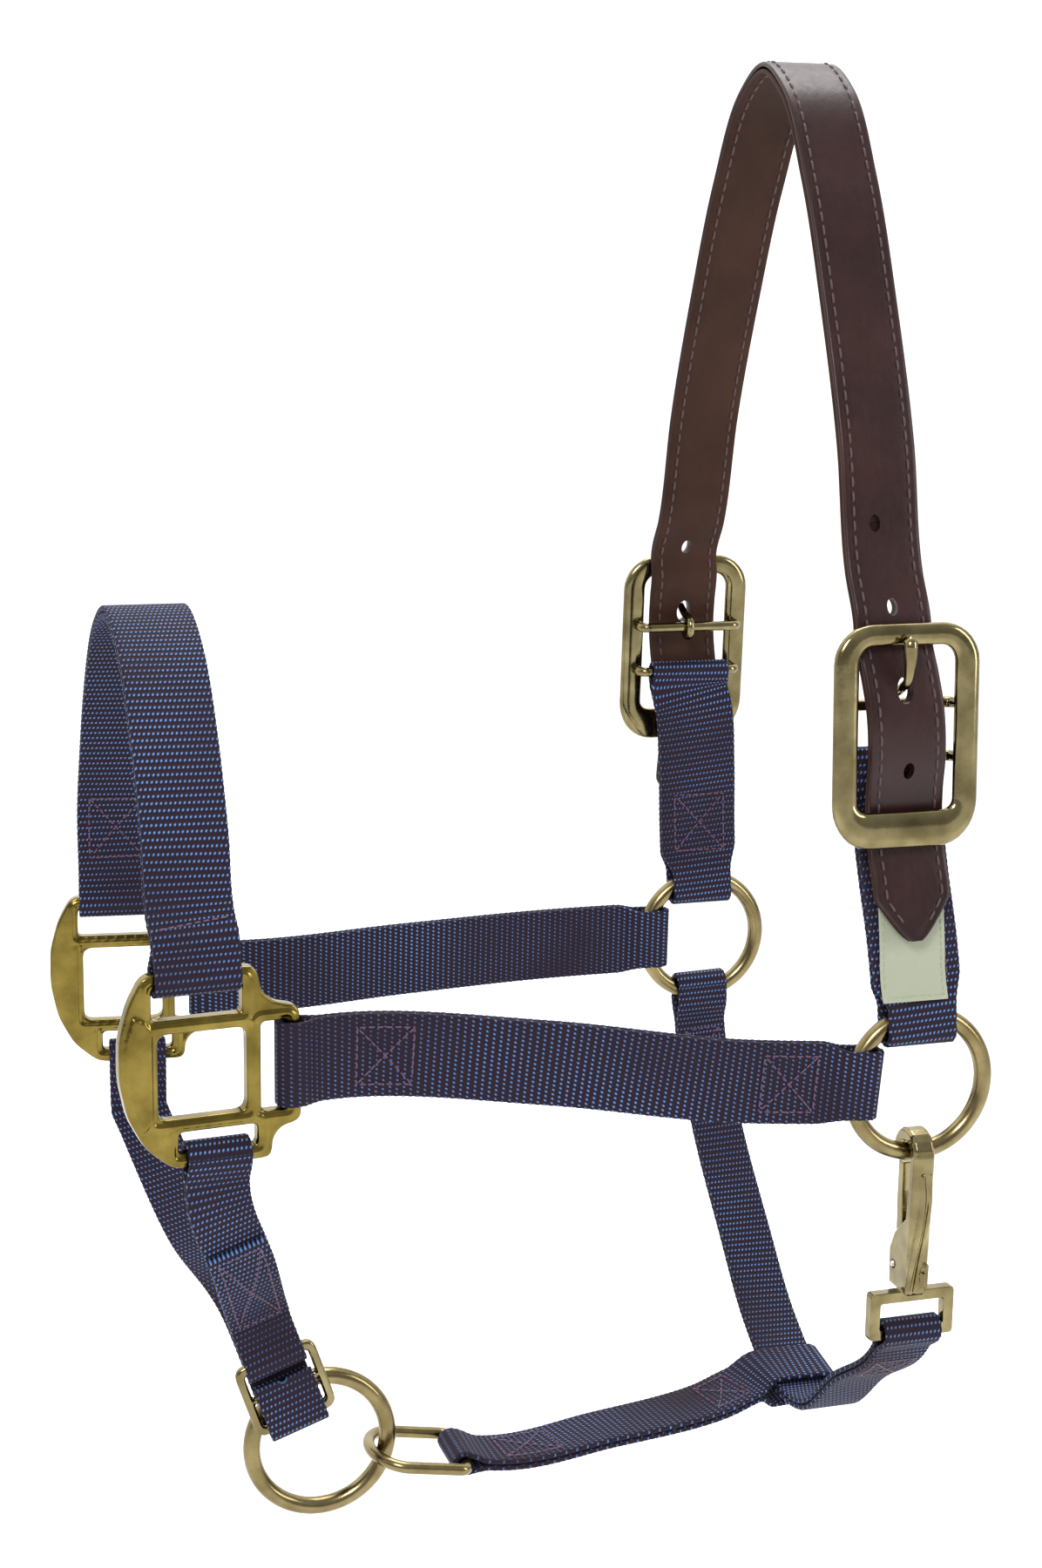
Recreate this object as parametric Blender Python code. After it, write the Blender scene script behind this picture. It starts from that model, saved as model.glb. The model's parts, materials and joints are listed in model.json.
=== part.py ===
"""Webbing headcollar with a leather crown strap, built in Blender from named parts.

Frame: +Z up, -X towards the horse's nose, -Y the near (left) side, +Y the far side.
The origin is the poll seat: the underside of the crown strap at its highest point.
Positions below are written from the axis that joins the two cheek rings.
"""
import math

import bmesh
import bpy
from mathutils import Matrix, Vector
from mathutils.geometry import interpolate_bezier

MM = 0.001

# Driving dimensions, in millimetres, from the cheek rings' common axis.
POLL_SEAT = (-12.0, 0.0, 300.0)
GAP = 0.3                 # clearance between neighbouring pieces
LAYER = 1.8               # thickness of one layer of webbing or leather
WIDE_WEB = 25.4           # noseband and cheek straps
TAB_WEB = 28.6            # buckle tabs
NARROW_WEB = 19.0         # chin, jaw and throat straps
CROWN_WIDTH = 24.0
RING_RADIUS = 21.75       # centre line of every round ring
RING_WIRE = 2.7           # wire radius of every round ring
RING_EYE_TAB = 22.4       # the tabs and cheek straps draw in where they fold round a ring
RING_EYE_CHEEK = 21.5
RING_Y = 90.0             # each cheek ring's distance from the middle
SQUARE_X = -215.5
SQUARE_Y = 73.0
SQUARE_Z = 9.5
SQUARE_TILT = 7.0         # the near square hangs this much above the mean, the far one below
SQUARE_TOE = 6.0          # degrees that the squares splay outwards at the nose
SQUARE_THICK = 4.4
SQUARE_BAR = 4.2
PLATE_RISE = 0.8          # the blank plate at the nose stands this proud of the square's face
SQUARE_TOP = 30.2         # edges of the square from its window's middle
SQUARE_REAR = 29.0
SQUARE_LOW = -27.3
CHIN_SHIFT = 4.2          # and the chin straps this far behind it
NOSE_SHIFT = -1.6         # the noseband sits this far forward of the window's middle
BUCKLE_X = -9.5
BUCKLE_Y = 91.0
BUCKLE_Z = 107.3
BUCKLE_LEAN = 3.0         # degrees that each buckle's top leans inwards
BUCKLE_WIDTH = 46.5
BUCKLE_HEIGHT = 66.5
BUCKLE_WINDOW = 31.0
LABEL_X = -4.5
CROWN_SKEW = 3.0          # the crown strap slants by this much across half a buckle
HALF_BUCKLE = 34.0        # the height over which it does so
TONGUE_HOLE = 13.9        # height of the hole in use above the buckle's centre
HOLE_PITCH = 24.0
TIP_REACH = 13.0          # length of the crown strap's pointed end
EYE_TAPER = 9.0           # length over which a folded strap opens into its eye
SHARP_ANGLE = 35.0        # degrees between faces that stay a crisp edge
CROSSBAR_RADIUS = 1.7
CROSSBAR_BACK = 7.0       # how far the crossbars sit behind the frame
UPPER_CROSSBAR = 8.7      # heights above the buckle's centre
LOWER_CROSSBAR = -7.3
TONGUE_WIRE = 1.4
CHIN_RING = (-172.5, -33.0, -120.5)
CHIN_ANGLE = 119.0        # where on the chin ring the chin straps hang, in degrees from +X
NOSE_TOP = 138.0
NOSE_X = -217.5

SIDES = {"near": -1.0, "far": 1.0}

PALETTE = {
    "webbing": ((0.030, 0.027, 0.055), 0.75, 0.0),
    "leather": ((0.045, 0.022, 0.020), 0.45, 0.0),
    "brass": ((0.45, 0.34, 0.12), 0.38, 1.0),
    "pale_brass": ((0.62, 0.52, 0.30), 0.30, 1.0),
    "steel": ((0.55, 0.54, 0.50), 0.35, 1.0),
    "label": ((0.50, 0.53, 0.40), 0.60, 0.0),
}


# ---------------------------------------------------------------- helpers

def world(x, y, z):
    """A point given in millimetres from the ring axis, as metres from the poll seat."""
    return Vector((x - POLL_SEAT[0], y - POLL_SEAT[1], z - POLL_SEAT[2])) * MM


def material(name):
    found = bpy.data.materials.get(name)
    if found:
        return found
    colour, roughness, metallic = PALETTE[name]
    made = bpy.data.materials.new(name)
    made.use_nodes = True
    shader = made.node_tree.nodes["Principled BSDF"]
    shader.inputs["Base Color"].default_value = (*colour, 1.0)
    shader.inputs["Roughness"].default_value = roughness
    shader.inputs["Metallic"].default_value = metallic
    made.diffuse_color = (*colour, 1.0)
    return made


def add_object(name, mesh, finish, pivot=None, parent=None):
    """Link a mesh whose points are world metres; its origin moves to the pivot."""
    thing = bpy.data.objects.new(name, mesh)
    bpy.context.scene.collection.objects.link(thing)
    mesh.materials.append(material(finish))
    mesh.shade_smooth()
    mesh.set_sharp_from_angle(angle=math.radians(SHARP_ANGLE))
    pivot = Vector(pivot) if pivot else Vector((0.0, 0.0, 0.0))
    mesh.transform(Matrix.Translation(-pivot))
    thing.location = pivot
    if parent:
        thing.parent = parent
        thing.location = pivot - parent.location
    return thing


def mesh_from(bm, name):
    bmesh.ops.recalc_face_normals(bm, faces=bm.faces)
    if bm.calc_volume(signed=True) < 0:
        bmesh.ops.reverse_faces(bm, faces=bm.faces)
    mesh = bpy.data.meshes.new(name)
    bm.to_mesh(mesh)
    bm.free()
    return mesh


def smooth_route(points, steps=6):
    """A smooth curve through hand-set points, its speed following the points' spacing."""
    points = [Vector(p) for p in points]
    lengths = [(b - a).length for a, b in zip(points, points[1:])]
    headings = [(b - a) / d for a, b, d in zip(points, points[1:], lengths)]
    tangents = [headings[0]]
    for i in range(1, len(points) - 1):
        before = lengths[i - 1]
        after = lengths[i]
        tangents.append((headings[i - 1] * after + headings[i] * before) / (before + after))
    tangents.append(headings[-1])
    route = [points[0]]
    for i, length in enumerate(lengths):
        one = points[i] + tangents[i] * length / 3.0
        two = points[i + 1] - tangents[i + 1] * length / 3.0
        route += interpolate_bezier(points[i], one, two, points[i + 1], steps + 1)[1:]
    return route


def directions(route):
    """The unit direction of travel at each point of a route."""
    found = []
    for i in range(len(route)):
        step = route[min(i + 1, len(route) - 1)] - route[max(i - 1, 0)]
        found.append(step.normalized())
    return found


def distances(route):
    """The distance travelled at each point of a route."""
    found = [0.0]
    for a, b in zip(route, route[1:]):
        found.append(found[-1] + (b - a).length)
    return found


def mix(a, b, share):
    return a + (b - a) * share


def ease(share):
    share = min(max(share, 0.0), 1.0)
    return share * share * (3.0 - 2.0 * share)


def band(name, centres, across, widths, thickness, closed):
    """Sweep a rectangle along the centres: across is its width direction at each point."""
    bm = bmesh.new()
    count = len(centres)
    rows = []
    for i in range(count):
        if closed:
            travel = centres[(i + 1) % count] - centres[i - 1]
        else:
            travel = centres[min(i + 1, count - 1)] - centres[max(i - 1, 0)]
        side = across[i].normalized()
        face = travel.normalized().cross(side).normalized()
        row = []
        for s, f in ((-1, -1), (1, -1), (1, 1), (-1, 1)):
            corner = centres[i] + side * (s * widths[i] / 2) + face * (f * thickness / 2)
            row.append(bm.verts.new(world(*corner)))
        rows.append(row)
    last = count if closed else count - 1
    for i in range(last):
        a = rows[i]
        b = rows[(i + 1) % count]
        for k in range(4):
            bm.faces.new((a[k], a[(k + 1) % 4], b[(k + 1) % 4], b[k]))
    if not closed:
        bm.faces.new(rows[0])
        bm.faces.new(rows[-1])
    return mesh_from(bm, name)


def doubled_strap(name, route, across, width, start_eye, end_eye, start_width=None, end_width=None):
    """Two layers that open into an eye at each end, made as one endless band.

    An eye is (radius, slot): the eye's middle-line radius, and how far it stays open
    along the strap, which a round ring needs because its arc crosses the strap's width.
    """
    half = (LAYER + GAP) / 2
    travel = directions(route)
    along = distances(route)
    total = along[-1]
    outer = []
    inner = []
    start_width = start_width or width
    end_width = end_width or width
    for point, step, done, side in zip(route, travel, along, across):
        face = step.cross(side).normalized()
        wide = mix(start_width, width, ease((done - start_eye[1]) / EYE_TAPER))
        wide += mix(end_width, width, ease((total - done - end_eye[1]) / EYE_TAPER)) - width
        spread = half
        for (radius, slot), gone in ((start_eye, done), (end_eye, total - done)):
            spread = max(spread, mix(radius, half, ease((gone - slot) / EYE_TAPER)))
        outer.append((point + face * spread, side, wide))
        inner.append((point - face * spread, side, wide))

    def cap(centre, ahead, face, side, radius, wide):
        turns = [math.radians(a) for a in (30, 60, 90, 120, 150)]
        return [(centre + face * (radius * math.cos(a)) + ahead * (radius * math.sin(a)), side, wide)
                for a in turns]

    last_face = travel[-1].cross(across[-1]).normalized()
    first_face = travel[0].cross(across[0]).normalized()
    far_cap = cap(route[-1], travel[-1], last_face, across[-1], end_eye[0], end_width)
    near_cap = cap(route[0], -travel[0], first_face, across[0], start_eye[0], start_width)
    loop = outer + far_cap + inner[::-1] + near_cap[::-1]
    centres, sides, widths = zip(*loop)
    mesh = band(name, list(centres), list(sides), list(widths), LAYER, closed=True)
    return add_object(name, mesh, "webbing")


def ring_foot(half_width):
    """How far from a ring's centre an eye of this half width turns, and its slot length."""
    inner = RING_RADIUS - RING_WIRE
    foot = math.sqrt(inner ** 2 - half_width ** 2) + RING_WIRE - 0.4
    return foot, RING_RADIUS - foot + 2.6


def torus(name, centre, axis, radius, wire, finish, around=32, sides=10, pivot=None):
    bm = bmesh.new()
    turn = Vector((0, 0, 1)).rotation_difference(Vector(axis)).to_matrix()
    rows = []
    for i in range(around):
        angle = 2 * math.pi * i / around
        out = Vector((math.cos(angle), math.sin(angle), 0))
        row = []
        for k in range(sides):
            tilt = 2 * math.pi * k / sides
            local = out * (radius + wire * math.cos(tilt)) + Vector((0, 0, wire * math.sin(tilt)))
            row.append(bm.verts.new(world(*(Vector(centre) + turn @ local))))
        rows.append(row)
    for i in range(around):
        for k in range(sides):
            a, b = rows[i], rows[(i + 1) % around]
            bm.faces.new((a[k], b[k], b[(k + 1) % sides], a[(k + 1) % sides]))
    return add_object(name, mesh_from(bm, name), finish, pivot=pivot)


def wire(name, route, radii, finish, sides=8, closed=False, pivot=None, up=(0, 0, 1)):
    """Sweep a round section of changing radius along a route."""
    bm = bmesh.new()
    count = len(route)
    rows = []
    normal = Vector(up)
    for i in range(count):
        if closed:
            travel = (route[(i + 1) % count] - route[i - 1]).normalized()
        else:
            travel = (route[min(i + 1, count - 1)] - route[max(i - 1, 0)]).normalized()
        normal = (normal - travel * normal.dot(travel)).normalized()
        other = travel.cross(normal)
        row = []
        for k in range(sides):
            angle = 2 * math.pi * k / sides
            offset = (normal * math.cos(angle) + other * math.sin(angle)) * radii[i]
            row.append(bm.verts.new(world(*(route[i] + offset))))
        rows.append(row)
    for i in range(count if closed else count - 1):
        for k in range(sides):
            a, b = rows[i], rows[(i + 1) % count]
            bm.faces.new((a[k], b[k], b[(k + 1) % sides], a[(k + 1) % sides]))
    if not closed:
        bm.faces.new(rows[0])
        bm.faces.new(rows[-1])
    return add_object(name, mesh_from(bm, name), finish, pivot=pivot)


def rounded(corners, radius, steps=3):
    """A closed outline with each corner replaced by an arc."""
    outline = []
    count = len(corners)
    for i in range(count):
        here = Vector(corners[i])
        back = Vector(corners[i - 1]) - here
        ahead = Vector(corners[(i + 1) % count]) - here
        reach = min(radius, back.length * 0.45, ahead.length * 0.45)
        start = here + back.normalized() * reach
        end = here + ahead.normalized() * reach
        for k in range(steps + 1):
            t = k / steps
            outline.append(start * (1 - t) ** 2 + here * (2 * t * (1 - t)) + end * t ** 2)
    return outline


def box_outline(left, bottom, right, top, radius, steps=3):
    return rounded([(left, bottom), (right, bottom), (right, top), (left, top)], radius, steps)


def plate(name, outline, holes, low, high, finish, place, bulge=None, pivot=None, bevel=0.0):
    """Fill an outline with holes in local x, z and extrude it along local y from low to high.

    place turns a local point into millimetres from the ring axis; bulge(x, z) shifts a
    point along local y, which arches the plate.
    """
    bm = bmesh.new()
    edges = []
    for loop in [outline] + holes:
        verts = [bm.verts.new((p[0], low, p[1])) for p in loop]
        for i in range(len(verts)):
            edges.append(bm.edges.new((verts[i], verts[(i + 1) % len(verts)])))
    bmesh.ops.triangle_fill(bm, use_beauty=True, use_dissolve=False, edges=edges)
    flat = list(bm.faces)
    made = bmesh.ops.extrude_face_region(bm, geom=flat)
    moved = [v for v in made["geom"] if isinstance(v, bmesh.types.BMVert)]
    bmesh.ops.translate(bm, verts=moved, vec=(0, high - low, 0))
    if bevel:
        bmesh.ops.recalc_face_normals(bm, faces=bm.faces)
        rims = [e for e in bm.edges if e.is_manifold and e.calc_face_angle() > math.radians(60)]
        bmesh.ops.bevel(bm, geom=rims, offset=bevel, segments=1, affect="EDGES", clamp_overlap=True)
    for vert in bm.verts:
        local = vert.co.copy()
        if bulge:
            local.y += bulge(local.x, local.z)
        vert.co = world(*place(local))
    return add_object(name, mesh_from(bm, name), finish, pivot=pivot)


def boolean(target, tool, operation):
    """Apply an exact Boolean and delete the tool."""
    step = target.modifiers.new(operation, "BOOLEAN")
    step.operation = operation
    step.solver = "EXACT"
    step.object = tool
    graph = bpy.context.evaluated_depsgraph_get()
    result = bpy.data.meshes.new_from_object(target.evaluated_get(graph))
    target.modifiers.clear()
    target.data = result
    result.shade_smooth()
    result.set_sharp_from_angle(angle=math.radians(SHARP_ANGLE))
    bpy.data.objects.remove(tool)


# ---------------------------------------------------------------- placing

def square_centre(sign):
    return Vector((SQUARE_X, sign * SQUARE_Y, SQUARE_Z - sign * SQUARE_TILT))


def square_place(sign):
    """Local x along the cheek, y outwards, z up, splayed a little at the nose."""
    turn = Matrix.Rotation(math.radians(-sign * SQUARE_TOE), 3, "Z")
    centre = square_centre(sign)

    def place(p):
        return centre + turn @ Vector((p.x, sign * p.y, p.z))
    return place


def buckle_place(sign):
    """Local x towards the tail, y outwards, z up along the leaning buckle."""
    lean = Matrix.Rotation(math.radians(BUCKLE_LEAN), 3, "X")
    centre = Vector((BUCKLE_X, sign * BUCKLE_Y, BUCKLE_Z))

    def place(p):
        local = lean @ Vector((p[0], p[1], p[2]))
        return centre + Vector((local.x, sign * local.y, local.z))
    return place


# ---------------------------------------------------------------- crown side

def crown_half_route(sign):
    """From the poll down through the buckle to the pointed end, outer face outwards."""
    place = buckle_place(sign)
    top = [(0.0, 302.0), (17.0, 294.0), (35.5, 268.0), (53.0, 231.0), (68.5, 191.0), (78.0, 154.0)]
    route = [Vector((mix(POLL_SEAT[0], BUCKLE_X - CROWN_SKEW, i / 5), sign * y, z))
             for i, (y, z) in enumerate(top)]
    threaded = [(34.0, -4.6), (27.0, -4.5), (18.0, -1.6), (UPPER_CROSSBAR, 0.6), (LOWER_CROSSBAR, -0.5),
                (-16.0, -3.2), (-23.0, -4.6), (-34.0, -4.8)]
    route += [place((-CROWN_SKEW * z / HALF_BUCKLE, y, z)) for z, y in threaded]
    tail = ((91.4, 62.0), (94.6, 46.0))
    route += [Vector((BUCKLE_X + CROWN_SKEW * (1.2 + 0.2 * i), sign * y, z)) for i, (y, z) in enumerate(tail)]
    return route


def tip_share(reach):
    """How wide the strap is this far from its pointed end, as a share of its full width."""
    return min(1.0, 0.16 + 0.84 * (reach / TIP_REACH) ** 0.8)


def crown_layer(name, offset):
    far = crown_half_route(1.0)
    near = crown_half_route(-1.0)
    route = smooth_route(near[::-1] + far[1:], steps=4)
    along = distances(route)
    travel = directions(route)
    total = along[-1]
    centres = []
    across = []
    widths = []
    for point, step, done in zip(route, travel, along):
        side = Vector((1, 0, 0))
        side = (side - step * side.dot(step)).normalized()
        face = step.cross(side)
        reach = min(done, total - done)
        widths.append(CROWN_WIDTH * tip_share(max(reach, 0.0)))
        centres.append(point - face * offset)
        across.append(side)
    mesh = band(name, centres, across, widths, LAYER, closed=False)
    strap = add_object(name, mesh, "leather")
    for sign in SIDES.values():
        place = buckle_place(sign)
        for height in crown_holes():
            middle = -CROWN_SKEW * height / HALF_BUCKLE
            outline = box_outline(middle - 2.6, height - 4.2, middle + 2.6, height + 3.8, 2.5, 2)
            cutter = plate("hole", outline, [], -14.0, 9.0, "leather", place)
            boolean(strap, cutter, "DIFFERENCE")
    return strap


def crown_holes():
    """Heights of the punched holes above the buckle's centre."""
    return [TONGUE_HOLE + step * HOLE_PITCH for step in (-1, 0, 1, 2)]


def buckle_frame(side, sign):
    place = buckle_place(sign)
    half_w = BUCKLE_WIDTH / 2
    half_h = BUCKLE_HEIGHT / 2
    outline = box_outline(-half_w, -half_h, half_w, half_h, 9.0, 5)
    window = box_outline(-BUCKLE_WINDOW / 2, -half_h + 11.0, BUCKLE_WINDOW / 2, half_h - 6.6, 3.0)
    frame = plate(side + "_buckle_frame", outline, [window], -2.0, 2.0, "pale_brass", place, bevel=0.8)
    for height in (UPPER_CROSSBAR, LOWER_CROSSBAR):
        post_x = (BUCKLE_WINDOW + 5.0) / 2
        route = [Vector((-post_x, 0.5, height)), Vector((-post_x, -CROSSBAR_BACK, height)),
                 Vector((post_x, -CROSSBAR_BACK, height)), Vector((post_x, 0.5, height))]
        bent = rounded_route(route, 2.6)
        bar = wire("bar", [place(p) for p in bent], [CROSSBAR_RADIUS] * len(bent), "pale_brass", sides=10)
        boolean(frame, bar, "UNION")
    return frame


def rounded_route(points, radius, steps=3):
    """An open route with each inner corner replaced by an arc."""
    route = [points[0]]
    for before, here, after in zip(points, points[1:], points[2:]):
        start = here + (before - here).normalized() * radius
        end = here + (after - here).normalized() * radius
        for k in range(steps + 1):
            t = k / steps
            route.append(start * (1 - t) ** 2 + here * (2 * t * (1 - t)) + end * t ** 2)
    route.append(points[-1])
    return route


def tongue(side, sign):
    """A wire wrapped round the upper crossbar, out through the leather, onto the frame."""
    place = buckle_place(sign)
    pin_x = -CROWN_SKEW * TONGUE_HOLE / HALF_BUCKLE
    reach = CROSSBAR_RADIUS + GAP + TONGUE_WIRE
    shank = [(12.7, -3.9), (14.6, 0.0), (16.6, 3.0), (21.0, 4.2), (30.0, 4.2)]
    path = [Vector(place((pin_x, y, z))) for z, y in tongue_wrap(reach) + shank]
    radii = [TONGUE_WIRE] * (len(path) - 1) + [TONGUE_WIRE * 1.25]
    pivot = world(*place((pin_x, -CROSSBAR_BACK, UPPER_CROSSBAR)))
    return wire(side + "_tongue", path, radii, "pale_brass", pivot=pivot, up=(1, 0, 0))


def tongue_wrap(reach):
    """The eye: from just above the bar's front, down round the front, back and over the top."""
    turns = range(20, -266, -30)
    points = []
    for degrees in turns:
        angle = math.radians(degrees)
        points.append((UPPER_CROSSBAR + reach * math.sin(angle), -CROSSBAR_BACK + reach * math.cos(angle)))
    return points


def tab_route(sign):
    """From the foot of the ring's eye up to the buckle's lower crossbar."""
    place = buckle_place(sign)
    foot = ring_foot(RING_EYE_TAB / 2 + 1.0)[0]
    points = [Vector((-1.0, sign * RING_Y, foot)), Vector((-1.5, sign * RING_Y, foot + 8.0)),
              Vector((-3.0, sign * RING_Y * 0.985, 42.0)), Vector((-5.5, sign * 84.5, 66.0)),
              place((1.5, -CROSSBAR_BACK - 2.4, -20.0)),
              place((0.0, -CROSSBAR_BACK - 0.6, LOWER_CROSSBAR - 5.0)),
              place((0.0, -CROSSBAR_BACK, LOWER_CROSSBAR))]
    return smooth_route(points, steps=4)


def tab(side, sign):
    """Doubled webbing round the cheek ring below and the buckle's lower crossbar above."""
    route = tab_route(sign)
    slot = ring_foot(RING_EYE_TAB / 2 + 1.0)[1]
    across = [Vector((1, 0, 0))] * len(route)
    ring_eye = (RING_WIRE + GAP + LAYER / 2, slot)
    bar_eye = (CROSSBAR_RADIUS + GAP + LAYER / 2, 0.0)
    return doubled_strap(side + "_tab", route, across, TAB_WEB, ring_eye, bar_eye,
                         start_width=RING_EYE_TAB)


def near_label():
    """A blank sewn patch on the near tab's outer face, half under the crown strap's tip."""
    bm = bmesh.new()
    high, low = 56.0, 27.5
    rows = []
    for k in range(7):
        z = mix(high, low, k / 6)
        y = tab_face(z) + GAP
        rows.append([bm.verts.new(world(LABEL_X + x, -depth, z))
                     for x, depth in ((-10.7, y), (10.7, y), (10.7, y + 0.8), (-10.7, y + 0.8))])
    for a, b in zip(rows, rows[1:]):
        for k in range(4):
            bm.faces.new((a[k], a[(k + 1) % 4], b[(k + 1) % 4], b[k]))
    bm.faces.new(rows[0])
    bm.faces.new(rows[-1])
    return add_object("near_label", mesh_from(bm, "near_label"), "label")


def tab_face(z):
    """How far out the tab's outer face lies at this height (both sides are alike)."""
    route = tab_route(-1.0)
    for a, b in zip(route, route[1:]):
        if a.z <= z <= b.z:
            middle = mix(abs(a.y), abs(b.y), (z - a.z) / (b.z - a.z))
            return middle + LAYER + GAP / 2 + 0.12 + max(0.0, (34.5 - z) * 0.36)
    raise ValueError(z)


# ---------------------------------------------------------------- face side

def cheek_ring(side, sign):
    centre = (0.0, sign * RING_Y, 0.0)
    return torus(side + "_cheek_ring", centre, (0, 1, 0), RING_RADIUS, RING_WIRE, "brass",
                 pivot=world(*centre))


def square(side, sign):
    """The window, three strap slots and the thick plate at the nose."""
    edge = SQUARE_BAR
    outline = [(15.6, SQUARE_TOP), (17.4, 22.0), (21.5, 18.6), (SQUARE_REAR - 0.4, 17.2),
               (SQUARE_REAR, -17.2), (23.0, -18.4), (20.4, -21.5), (20.0, SQUARE_LOW), (-9.0, SQUARE_LOW),
               (-17.0, -20.5), (-22.0, -11.0), (-24.3, 0.0), (-24.2, 12.0), (-21.5, 22.0),
               (-17.0, SQUARE_TOP)]
    window = box_outline(-13.3, -12.5, 12.8, 12.5, 3.0)
    top_slot = box_outline(NOSE_SHIFT - 13.2, 12.5 + edge, NOSE_SHIFT + 13.2, SQUARE_TOP - edge, 1.5)
    rear_slot = box_outline(12.8 + edge, -13.3, SQUARE_REAR - edge, 13.3, 1.5)
    low_slot = box_outline(CHIN_SHIFT - 11.6, SQUARE_LOW + edge, CHIN_SHIFT + 11.6, -12.5 - edge, 1.5)
    place = square_place(sign)
    face = SQUARE_THICK / 2
    body = plate(side + "_square", rounded(outline, 3.0), [window, top_slot, rear_slot, low_slot],
                 -face, face, "brass", place, bevel=0.7)
    crescent = [(-15.2, 15.0), (-15.2, -12.0), (-17.5, -16.0), (-21.0, -9.0), (-22.6, 0.0), (-22.4, 11.0),
                (-20.0, 19.0)]
    pad = plate("pad", rounded(crescent, 2.0), [], face - 1.0, face + PLATE_RISE, "brass", place)
    boolean(body, pad, "UNION")
    return body


def bar_eye():
    """The eye round one of the square's bars: its middle-line radius, no slot."""
    return (math.hypot(SQUARE_BAR, SQUARE_THICK) / 2 + GAP + LAYER / 2, 0.0)


def cheek_strap(side, sign):
    place = square_place(sign)
    bar = place(Vector((SQUARE_REAR - SQUARE_BAR / 2, 0.0, 0.0)))
    lead = place(Vector((SQUARE_REAR - SQUARE_BAR / 2 + 16.0, 0.0, 0.0)))
    foot, slot = ring_foot(RING_EYE_CHEEK / 2 + 0.4)
    aim = (Vector((bar.x, 0, bar.z))).normalized()
    ring_end = aim * foot + Vector((0, sign * RING_Y, 0))
    points = [ring_end, ring_end + aim * 14.0, ring_end + aim * 40.0 - Vector((0, sign * 1.2, 0))]
    middle = (points[-1] + lead) / 2 + Vector((0, sign * 1.0, 1.0 - sign))
    route = smooth_route(points + [middle, lead, bar], steps=5)
    travel = directions(route)
    across = [(Vector((0, 0, 1)) - t * t.z).normalized() for t in travel]
    ring_eye = (RING_WIRE + GAP + LAYER / 2, slot)
    return doubled_strap(side + "_cheek_strap", route, across, WIDE_WEB, ring_eye, bar_eye(),
                         start_width=RING_EYE_CHEEK)


def noseband():
    points = []
    for sign in (-1.0, 1.0):
        place = square_place(sign)
        rise = [place(Vector((NOSE_SHIFT, 0.0, h))) for h in (SQUARE_TOP - SQUARE_BAR / 2, 40.0)]
        shape = ((70.5, 60.0), (61.0, 83.0), (47.0, 107.0), (28.0, 127.5))
        arch = [Vector((NOSE_X, sign * y, z)) for y, z in shape]
        side = rise + arch
        points += side if sign < 0 else [Vector((NOSE_X, 0.0, NOSE_TOP))] + side[::-1]
    route = smooth_route(points, steps=4)
    travel = directions(route)
    along = distances(route)
    across = []
    for t, done in zip(travel, along):
        turn = math.radians(SQUARE_TOE) * (1 - 2 * done / along[-1])
        side = Vector((math.cos(turn), math.sin(turn), 0))
        across.append((side - t * side.dot(t)).normalized())
    return doubled_strap("noseband", route, across, WIDE_WEB, bar_eye(), bar_eye())


# ---------------------------------------------------------------- chin

def chin_axes():
    """Outwards along the ring's radius where the chin straps hang, and along its rim."""
    angle = math.radians(CHIN_ANGLE)
    out = Vector((math.cos(angle), 0.0, math.sin(angle)))
    rim = Vector((math.sin(angle), 0.0, -math.cos(angle)))
    return out, rim


SLIDE_FACE = 6.7          # the slide's middle plane, in front of the chin ring's plane
SLIDE_HALF = 1.4          # half the slide's thickness
SLIDE_LOW = 13.5          # the slide's ends, measured from the chin ring's centre
SLIDE_HIGH = 38.0
SLIDE_WIDE = 26.5
SLIDE_BAR = 3.2
SLIDE_TURN = 10.0         # degrees that the slide hangs more upright than the ring's radius


def slide_axes():
    """The slide's own upright and level directions."""
    turn = Matrix.Rotation(math.radians(SLIDE_TURN), 3, "Y")
    out, rim = chin_axes()
    return turn @ out, turn @ rim


def slide_place():
    """Local x across the slide, y towards the near side, z up along it from the chin ring."""
    middle = (SLIDE_LOW + SLIDE_HIGH) / 2
    centre = Vector(CHIN_RING) + chin_axes()[0] * middle
    upright, level = slide_axes()

    def place(p):
        return centre + level * p[0] + upright * (p[2] - middle) + Vector((0, -p[1], 0))
    return place


def chin_slide():
    place = slide_place()
    half = SLIDE_WIDE / 2
    outline = box_outline(-half, SLIDE_LOW, half, SLIDE_HIGH, 4.0, 4)
    hole = box_outline(-half + 2.8, SLIDE_LOW + SLIDE_BAR, half - 2.8, SLIDE_HIGH - SLIDE_BAR, 1.2)
    frame = plate("chin_slide", outline, [hole], SLIDE_FACE - SLIDE_HALF, SLIDE_FACE + SLIDE_HALF, "pale_brass",
                  place, bevel=0.6)
    middle = (SLIDE_LOW + SLIDE_HIGH) / 2
    reach = half - 2.0
    route = [Vector((x, SLIDE_FACE, middle)) for x in (-reach, 0.0, reach)]
    bar = wire("bar", [place(p) for p in route], [1.2] * 3, "pale_brass", sides=10)
    boolean(frame, bar, "UNION")
    return frame


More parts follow.
